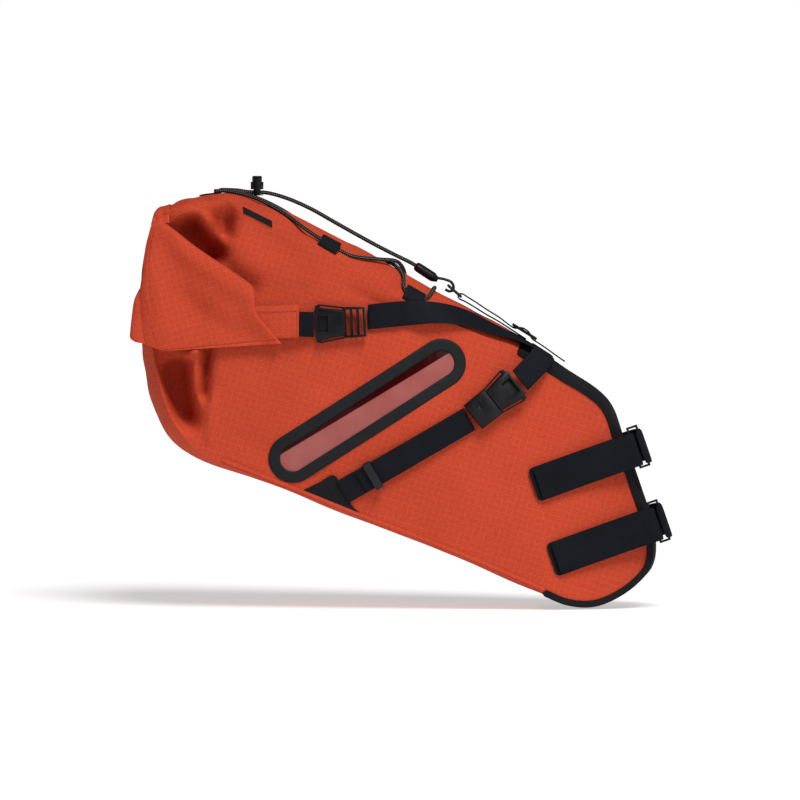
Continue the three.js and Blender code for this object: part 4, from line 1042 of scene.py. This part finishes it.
u, v = grid(50, 130, (0, 1), (-1, 1))
y = v * FLAP_HALF
ripple = (0.5 * np.sin(y / 9 + 2 * u) * np.sin(np.pi * u) + 0.4 * np.sin(y / 23 + 1.0)) * 0.6
outer, inner = back_face(u, y, ripple), back_face(u, y, ripple + 1.8)
rear = cloth_mesh("rear_cloth", outer, inner, np.stack([u * 82, y], -1))
sew(rear, "closure", ORANGE_RIPSTOP, "shell_fabric", "closure_flap")


def roll_face(share, y, inset):
    """The roll: a spiral that loses 2 mm of radius a turn, pulled out upwards into a flat oval, leaning
    back at its foot, with shallow waves along its length."""
    turns = 2.25
    a = np.pi / 2 + share * turns * 2 * np.pi
    r = 7.5 - 2 * turns * share - inset
    pull = np.clip(np.sin(a) * 3, -1, 1)
    z = 173.5 + r * np.sin(a) + 15 * pull
    x = -505.5 + 3.5 * (z - 151) / 45 + r * np.cos(a)
    wave = 0.45 * np.sin(y / 13 + 3 * share) * (1 - share)
    return np.stack([x + wave * np.sign(np.cos(a)) * 0.5, y, z + 0.6 * wave], -1)


share, y = grid(200, 90, (0, 1), (-FLAP_HALF, FLAP_HALF))
outer, inner = roll_face(share, y, 0.0), roll_face(share, y, 1.4)
roll = cloth_mesh("rolled_mouth", outer, inner, np.stack([share * 260, y], -1))
sew(roll, "closure", ORANGE_RIPSTOP, "shell_fabric", "closure_roll", corner=70)

ROLL_REAR = [[-509, 150.2], [-513.6, 154], [-513.4, 163], [-511.8, 178], [-509.6, 192], [-504.5, 203.5]]
ROLL_FRONT = [[-487, 146.5], [-488.5, 150], [-491, 161], [-494, 174], [-497, 190], [-498.5, 203.5]]
for name, side in SIDES.items():
    u, v = grid(40, 50)
    rear_line = spline(ROLL_REAR, v)
    p = rear_line + (spline(ROLL_FRONT, v) - rear_line) * u[..., None]
    rounded = np.sqrt(1 - (1 - np.clip(u / 0.3, 0, 1)) ** 2) * (1 - 0.35 * ease(v, 0.75, 1.0))
    puff = 71.5 + 4.7 * rounded - 0.8 * np.exp(-((u - 0.55 - 0.2 * v) / 0.06) ** 2)
    x, z = p[..., 0], p[..., 1]
    cap = side_sheet(f"roll_end_{name}", side, x, puff, puff - 0.8, z, along_bag(x, z, 0.1))
    sew(cap, "closure", ORANGE_RIPSTOP, "shell_fabric")

u, v = grid(14, 110, (0, 1), (-1, 1))
root = spline([[-501.6, 204], [-503.2, 199], [-504.2, 194], [-503, 189.5]], u)
root = np.stack([root[..., 0], v * 74.6, root[..., 1]], -1)
root = cloth_mesh("roll_root", root, root + np.array([1.2, 0, 0]), np.stack([u * 15, v * 74.6], -1))
sew(root, "closure", ORANGE_RIPSTOP, "shell_fabric")

u = np.array([0.12, 0.3, 0.5, 0.7, 0.9])
depth = np.where((u > 0.2) & (u < 0.8), -2.6, -1.2)
light_loop = in_air(back_face(u, 0 * u, depth), [[0, 1, 0]] * 5)
strap = woven_strip("light_loop_webbing", light_loop, 20, 1.3, 60)
sew(strap, "closure", BLACK_WEBBING, "webbing", "light_loop")
w = np.linspace(-8.5, 8.5, 20)
bars = [row_on(light_loop, k, w, s) for k in (0.04, 0.5, 0.96) for s in (0.75, -0.75)]
stitching("light_loop_stitches", bars, "closure", BLACK_THREAD, "webbing")

# The cloth turns over the top edge of the rear in one soft fold, half on the bag and half on the closure,
# and droops at both ends to the corners of the ears.
v, y = grid(24, 150, (0, 1), (-FLAP_HALF, FLAP_HALF))
turn = spline([[-476, 283.6], [-482, 281.7], [-486.5, 281.2], [-489.6, 279.4], [-491.2, 275.5],
               [-493, 268.5]], v)
corner = ease(np.abs(y), 52, 84)
bulge = 3 * np.maximum(1 - (y / 61) ** 2, 0) * (1 - ease(v, 0.2, 0.9)) - 17 * corner * (1 - 0.4 * v)
outer = np.stack([turn[..., 0] + corner * (1 - v) * 1.5, y, turn[..., 1] + bulge], -1)
fold = cloth_mesh("mouth_fold", outer, outer + np.array([0.9, 0, -0.8]), np.stack([v * 26, y], -1))
bridge_joint(fold, ORANGE_RIPSTOP)

# ---- ears ----
# The mouth's corners are folded forward into flat ears over the sides. The sewn end of the roll stands out
# of each ear as a doubled orange tab, and a piece of webbing joins the tab to the hook of the side buckle.

EAR_FRONT = [[-362, 149], [-374, 163], [-387, 180], [-388.5, 200], [-392, 207], [-404, 216], [-447, 245],
             [-470, 263], [-488, 276.5]]
EAR_REAR = [[-483, 141.2], [-487, 145], [-492, 160], [-495, 174], [-499, 207], [-498.5, 240], [-494, 261],
            [-489.5, 275.5]]

EAR_FOLDS = [((-488, 262), (-436, 158), 15, -3.4), ((-474, 250), (-398, 196), 9, 2.6),
             ((-470, 200), (-400, 152), 10, -1.6), ((-494, 230), (-476, 150), 8, 1.8)]


def ear_face(u, v):
    """An ear by straight lines between its rear edge and its front edge, v up both; the distance from the
    middle grows towards the front and the top. The top edge is turned in as a quarter circle, a groove
    follows the rear seam, and the lower front stands out over the tab."""
    rear, front = spline(EAR_REAR, v), spline(EAR_FRONT, v)
    p = rear + (front - rear) * u[..., None]
    x, z = p[..., 0], p[..., 1]
    width = np.linalg.norm(front - rear, axis=-1)
    from_front, from_rear = (1 - u) * width, u * width
    level = 78.5 + 4.5 * np.clip((x + 500) / 110, 0, 1) + 3.6 * ease(v, 0.0, 0.8)
    turned = 1 - np.sqrt(1 - (1 - np.minimum(from_front, 10) / 10) ** 2)
    lip = -8 * turned * ease(v, 0.22, 0.4) - 1.6 * np.exp(-(from_front / 1.1) ** 2)
    lip = lip * (1 - 0.7 * ease(v, 0.8, 1)) + 5.5 * np.exp(-(from_front / 15) ** 2) * (1 - ease(v, 0.3, 0.5))
    seam = -1.5 * np.exp(-(from_rear / 1.8) ** 2) - 0.8 * np.exp(-np.abs(from_rear - 4) / 0.7)
    dents = sum(crease(x, z, *fold) for fold in EAR_FOLDS)
    dents = dents + 0.5 * np.sin(x / 13 + z / 19) + 0.4 * np.sin(x / 21 - z / 11 + 2)
    hem = -0.8 * np.exp(-((v * 100 - 3.2) / 0.8) ** 2)
    return x, level + lip + seam * ease(width, 12, 40) + dents * ease(width, 10, 50) + hem, z


for name, side in SIDES.items():
    u, v = grid(120, 150)
    x, y, z = ear_face(u, v)
    ear = side_sheet(f"ear_cloth_{name}", side, x, y, y - CLOTH, z, along_bag(x, z, 0.26))
    sew(ear, f"ear_{name}", ORANGE_RIPSTOP, "shell_fabric", f"ear_{name}", corner=60)

    # The cloth turns from the rear into the ear round a soft corner, half on the closure, half on the ear.
    u, v = grid(26, 90)
    behind = spline([[-500, 147.5], [-503, 160], [-504.3, 175], [-504.8, 190], [-504.2, 200], [-502.4, 213],
                     [-499.8, 231], [-495.8, 253], [-490.4, 274]], v)
    ahead = spline(EAR_REAR, v) + np.array([4, 0])
    quarter = u * np.pi / 2
    p = behind + (ahead - behind) * (1 - np.cos(quarter))[..., None]
    reach = 73 + (6 + 3.6 * ease(v, 0, 0.8)) * np.sin(quarter)
    outer = np.stack([p[..., 0], side * reach, p[..., 1]], -1)
    turn = cloth_mesh(f"ear_fold_{name}", outer, outer + np.array([0.7, side * -0.7, 0]),
                      along_bag(p[..., 0], p[..., 1], 0.26))
    bridge_joint(turn, ORANGE_RIPSTOP)

    tab = in_air([[-392, side * 82.0, 169.6], [-380, side * 83.4, 170], [-362, side * 85.6, 170.6],
                  [-345, side * 86.2, 171.7]], [[0, 0, 1]] * 4)
    sleeve = woven_strip(f"ear_tab_{name}", tab, 33, 3.6, 50, ring_points=32, power=9)
    sew(sleeve, f"ear_{name}", ORANGE_RIPSTOP, "shell_fabric")
    rows = [row_on(tab, np.linspace(0.2, 0.99, 60), 10.2, s) for s in (1.95, -1.95)]
    rows += [row_on(tab, 0.96, np.linspace(-15, 9, 30), s) for s in (1.95, -1.95)]
    stitching(f"ear_tab_stitches_{name}", rows, f"ear_{name}", ORANGE_THREAD, "shell_fabric", 2.8, 1.1, 0.34)

    hook = reach_at(-305, 169.5) + 3.6 + 5.1
    web = in_air([[-344.3, side * 86.1, 168.5], [-337.35, side * (87 + (hook - 87) * 0.6), 168.3],
                  [-330.4, side * hook, 168.1]], [[0, 0, 1]] * 3)
    short = woven_strip(f"ear_webbing_strap_{name}", web, WEBBING, 1.9, 30)
    sew(short, f"ear_{name}", BLACK_WEBBING, "webbing", f"ear_webbing_{name}")

# ---- cord tabs, lacing and cargo cord ----
# Black loops are sewn along both edges of the top, and 4 mm shock cord with pale flecks is laced through
# them. A second cord, doubled through a cord lock, holds cargo down and ends in a hook on a ring at the
# front.

CORD_R = 2.0


def cord_finish(name):
    """Shock cord's braid: two crossing sets of slanted strands from waves over length and turn, with a pale
    fleck at every few crossings."""
    made, put, calc, feed = new_finish(name, Roughness=0.75, Specular_IOR_Level=0.15)
    spot = put("SeparateXYZ", {0: put("UVMap", uv_map="cloth")[0]})

    def crossing(pitch, strands):
        length = calc("MULTIPLY", spot[0], 2 * math.pi / pitch)
        turn = calc("MULTIPLY", spot[1], strands * 2 * math.pi * 1000)
        return [calc("SINE", calc(way, length, turn)) for way in ("ADD", "SUBTRACT")]
    braid = calc("MAXIMUM", *crossing(0.0021, 6))
    fleck = calc("MULTIPLY_ADD", calc("MULTIPLY", *crossing(0.0042, 3)), 7.0, -4.9, clamp=True)
    share = calc("MULTIPLY_ADD", braid, 0.4, 0.5, clamp=True)
    base = mixed(put, share, (0.004, 0.004, 0.005), (0.014, 0.014, 0.016))
    feed("Base Color", mixed(put, fleck, base, (0.42, 0.40, 0.36)))
    feed("Normal", relief(put, braid, 0.6, 0.0003))
    return made


SHOCK_CORD = cord_finish("shock cord")


def round_tube(name, path, radius, steps, sides=16):
    """A round bar along a spline: rings of the radius square to the path, carried without twist by taking
    each ring's first direction square to a fixed one."""
    line = spline(path, np.linspace(0, 1, 4 * steps))
    run = run_along(line)
    wanted = np.linspace(0, run[-1], steps)
    centre = np.stack([np.interp(wanted, run, line[:, k]) for k in range(3)], -1)
    along = unit(np.gradient(centre, axis=0))
    first = unit(np.cross(along, [0.08, 0.13, 1.0]))
    second = np.cross(along, first)
    a = 2 * np.pi * np.arange(sides) / sides
    rings = first[:, None] * np.cos(a)[None, :, None] + second[:, None] * np.sin(a)[None, :, None]
    uv = np.stack(np.broadcast_arrays(wanted[:, None], a[None] / (2 * np.pi)), -1)
    return tube_mesh(name, centre[:, None] + radius * rings, uv)


for row, station in (("rear", 5.8), ("front", 7.35)):
    for name, side in SIDES.items():
        arch = np.array([[0.99, 1.2], [0.985, 4.6], [0.93, 7.3], [0.81, 7.4], [0.72, 4.6], [0.68, 1.2]])
        path = top_face(np.full(6, station), side * arch[:, 0], arch[:, 1])
        ahead = unit(np.diff(top_face(np.array([station, station + 0.1]), np.zeros(2)), axis=0)[0])
        tab = woven_strip(f"cord_loop_{row}_{name}", in_air(path, [ahead] * 6), 21, 1.1, 60)
        sew(tab, "bag", BLACK_WEBBING, "webbing", f"cord_tab_{row}_{name}")

low = CORD_R + 0.8
tab = low + 0.5
half = np.array([[3.15, 0.14, low + 0.6], [3.7, 0.14, low], [4.3, 0.24, low], [4.9, 0.52, low],
                 [5.4, 0.8, low], [5.6, 0.862, tab], [5.8, 0.865, tab], [6, 0.862, tab], [6.16, 0.8, low],
                 [6.5, 0.42, low]])
down = [[6.76, 0, low], [6.98, -0.45, low], [7.1, -0.78, low], [7.2, -0.862, tab], [7.36, -0.866, tab]]
across = [[7.52, -0.862, tab], [7.6, -0.76, low], [7.66, -0.4, low], [7.68, 0, low], [7.66, 0.4, low],
          [7.6, 0.76, low], [7.52, 0.862, tab]]
rise = [[7.36, 0.866, tab], [7.2, 0.862, tab], [7.1, 0.78, low], [6.98, 0.45, low + 2.2],
        [6.76, 0, low + 4.3], [6.5, -0.42, low + 1.6]]
mirrored = (half * [1, -1, 1])[:-1][::-1]
stops = np.vstack([half, down, across, rise, mirrored])
lacing = round_tube("lacing", top_face(stops[:, 0], stops[:, 1], stops[:, 2]), CORD_R, 520)
sew(lacing, "bag", SHOCK_CORD, "cord", "lacing_cord")

run = np.array([[-420, 301], [-408, 300.5], [-398, 299], [-388, 298.5], [-378, 298], [-358, 292.5],
                [-334, 282], [-310, 268.5], [-286, 255], [-262, 242], [-242, 232], [-232, 227], [-224, 222]])
strand = np.column_stack([run[:, 0], np.full(len(run), -2.4), run[:, 1]])
path = np.vstack([strand[::-1], [[-424, -1.4, 301], [-424, 1.4, 301]], strand * [1, -1, 1]])
cargo = round_tube("cargo_cord", path, CORD_R, 420)
sew(cargo, "bag", SHOCK_CORD, "cord", "hook_cord")

stations = np.array([2.5, 2.8, 3.15, 3.5])
path = top_face(stations, 0 * stations, np.full(4, 1.0))
anchor = woven_strip("rear_anchor_webbing", in_air(path, [[0, 1, 0]] * 4), 14, 1.3, 40)
sew(anchor, "bag", BLACK_WEBBING, "webbing", "rear_webbing")
moulded("cord_lock_body", "cord_lock", edge=0.4)
moulded("cord_lock_button", "cord_lock_button", edge=0.4)


def steel_finish(name):
    """Drawn spring wire: bright steel with patches of tarnish."""
    made, put, calc, feed = new_finish(name, Metallic=1.0)
    wear = worn(put, calc, feed, 0.004, 0.3, 0.2)
    feed("Base Color", mixed(put, wear["Patches"], (0.45, 0.45, 0.46), (0.62, 0.62, 0.63)))
    return made


dress("cord_lock_spring", steel_finish("spring steel"))

# ---- hook, ring and top strap ----
# A plastic sleeve is moulded on the cord's ends with a wire hook curled through an oval ring. The ring
# hangs in a 20 mm strap that is sewn at the nose and comes back through an adjuster to a free tail.

COATED_WIRE = plastic_finish("coated wire", (0.010, 0.010, 0.012), (0.020, 0.020, 0.023), 0.20)
t = np.linspace(0, 1, 40)
sleeve_path = np.array([[-228.5, 0, 224.65], [-217, 0, 217.1], [-206, 0, 210]])
along = sleeve_path[-1] - sleeve_path[0]
sleeve_up = np.array([-along[2], 0, along[0]]) / np.linalg.norm(along)
a = 2 * np.pi * np.arange(28) / 28
size = 1 - 0.32 * np.exp(-(t / 0.05)) - 0.45 * ease(t, 0.75, 1.0)
centre = spline(sleeve_path, t)
rings = (centre[:, None] + size[:, None, None] * (np.cos(a)[None, :, None] * np.array([0, 7.2, 0])
         + np.sin(a)[None, :, None] * 4.9 * sleeve_up))
uv = np.stack(np.broadcast_arrays(t[:, None] * 26, a[None] * 5), -1)
sew(tube_mesh("hook_sleeve", rings, uv), "hook", BLACK_NYLON, "buckle_plastic", "hook")
curl = [[-212, 213.5], [-206, 212.2], [-198, 210.5], [-192.5, 208], [-190, 203.5], [-191, 199.6],
        [-194.5, 198.8], [-198.5, 200.6]]
wire = round_tube("hook_wire", [[x, 0, z] for x, z in curl], 1.45, 70)
sew(wire, "hook", COATED_WIRE, "wire")

a = 2 * np.pi * np.arange(97) / 96
down, wide = (np.sign(k) * np.abs(k) ** 0.35 for k in (np.cos(a), np.sin(a)))
tall = np.array([0.75, 0, -0.66]) / math.hypot(0.75, 0.66)
ring_path = np.array([-189, 0, 199]) + tall * (8.4 * down)[:, None] + np.array([0, 12.4, 0]) * wide[:, None]
ring = round_tube("oval_ring", ring_path, 1.25, 260)
sew(ring, "hook_ring", COATED_WIRE, "wire", "hook_ring")

GLIDE_AT, GLIDE_RUN = np.array([-118.5, 158]), np.array([0.85, -0.527])


def strap_line():
    """The strap's side view: from the nose through both slots of the adjuster, round the ring and back."""
    weave = [[17, -2.3], [11.5, -2.3], [8.6, -1.3], [5.4, 1.4], [2.6, 2.3], [-2.6, 2.3], [-5.4, 1.4],
             [-8.6, -1.3], [-11.5, -2.3], [-17, -2.3]]
    normal = np.array([-GLIDE_RUN[1], GLIDE_RUN[0]])
    laced = [list(GLIDE_AT + GLIDE_RUN * s + normal * n) for s, n in weave]
    rest = [[-144, 172.5], [-156, 180], [-168, 188], [-176, 193], [-181, 196], [-184, 196], [-185.5, 193.5],
            [-184, 191], [-179.5, 189], [-170, 183.5], [-158, 176], [-144, 168], [-130, 159], [-117, 150.5]]
    return [[-78, 128], [-88, 135], [-97, 141.5], *laced, *rest]


path = [[x, 0, z] for x, z in strap_line()]
laced = in_air(path, [[0, 1, 0]] * len(path))
top_strap = woven_strip("top_strap_webbing", laced, 20, 1.3, 400, ring_points=20)
sew(top_strap, "bag", BLACK_WEBBING, "webbing", "top_strap")
moulded("tri_glide", "bag", edge=0.4)

# ---- side label ----
# A small black label, left blank, is sewn under the top seam on the right. The stitching presses its border
# down into the cloth.

u, v = grid(60, 20)
rim = 0.35 * np.exp(-(np.minimum(np.minimum(u, 1 - u) * 29, np.minimum(v, 1 - v) * 8.5) / 0.6) ** 2)
x, z = -400.5 + 29 * u - 0.5 * v, 279 - 14.5 * u + 6.5 * v
face = reach_at(x, z)
label = side_sheet("blank_label", -1, x, face + (1.0 - rim), face + 0.2, z, np.stack([u * 32, v * 8], -1))
sew(label, "bag", BLACK_CLOTH, "nose_fabric", "side_label")

# ---- floor, light and camera ----
# The bag rests on its nose on a pale floor in a white studio, under a wide soft light from above and a
# smaller one in front.

FLOOR = -0.1205


def pale_surface():
    """Matte pale paint with the faintest roller texture; a little light of its own keeps its shadows
    thin."""
    made, put, calc, feed = new_finish("pale paint", Roughness=0.9, Specular_IOR_Level=0.0,
                                       Emission_Color=(1, 1, 1, 1), Emission_Strength=0.48)
    noise = put("TexNoise", {"Vector": put("TexCoord")["Object"], "Scale": 3.0, "Detail": 2.0})["Fac"]
    feed("Base Color", mixed(put, noise, (0.60, 0.60, 0.60), (0.62, 0.62, 0.62)))
    return made


x, y = grid(3, 3, (-14000, 14000), (-3000, 26000))
points = np.stack([x, y, np.full_like(x, FLOOR * 1000)], -1).reshape(-1, 3)
i = np.arange(9).reshape(3, 3)
faces = np.stack([i[:-1, :-1], i[1:, :-1], i[1:, 1:], i[:-1, 1:]], -1).reshape(-1, 4)
floor = made_piece("floor", points, faces, points[:, :2])
floor.data.materials.append(pale_surface())

# The wall of the studio is pure white to look at, and gives a sixth of that light.
world = bpy.data.worlds.new("studio")
bpy.context.scene.world = world
world.use_nodes = True
sky = world.node_tree.nodes["Background"]
sky.inputs[0].default_value = (1.0, 1.0, 1.0, 1)
put, calc = shader(world.node_tree)
seen = put("LightPath")["Is Camera Ray"]
world.node_tree.links.new(calc("MULTIPLY_ADD", seen, 0.84, 0.16), sky.inputs[1])


def aimed(holder, at, aim):
    """Puts a lamp or camera at a point and turns it to another."""
    holder.location = at
    holder.rotation_mode = "QUATERNION"
    holder.rotation_quaternion = (Vector(aim) - Vector(at)).to_track_quat("-Z", "Y")


def lamp(name, kind, at, aim, power, **settings):
    """A lamp of a kind at a point, aimed at another."""
    light = bpy.data.lights.new(name, kind)
    light.energy = power
    for key, value in settings.items():
        setattr(light, key, value)
    aimed(placed(name, light), at, aim)


lamp("high soft light", "SUN", (0.36, -0.85, 1.35), (0, 0, 0), 3.1, angle=math.radians(26))
lamp("front soft light", "AREA", (1.1, -2.0, 0.7), (-0.25, 0, 0.08), 8, size=1.0)

DISTANCE, LIFT_ANGLE, VIEW_WIDTH, SENSOR = 8.0, math.radians(2.5), 0.800, 36
camera = placed("camera", bpy.data.cameras.new("camera"))
bpy.context.scene.camera = camera
aim = Vector((-0.244, -0.068, 0.092))
aimed(camera, aim + Vector((0, -math.cos(LIFT_ANGLE), math.sin(LIFT_ANGLE))) * DISTANCE, aim)
camera.data.sensor_width = SENSOR
camera.data.lens = SENSOR * DISTANCE / VIEW_WIDTH
camera.data.clip_end = 50
bpy.context.scene.view_settings.view_transform = "Standard"
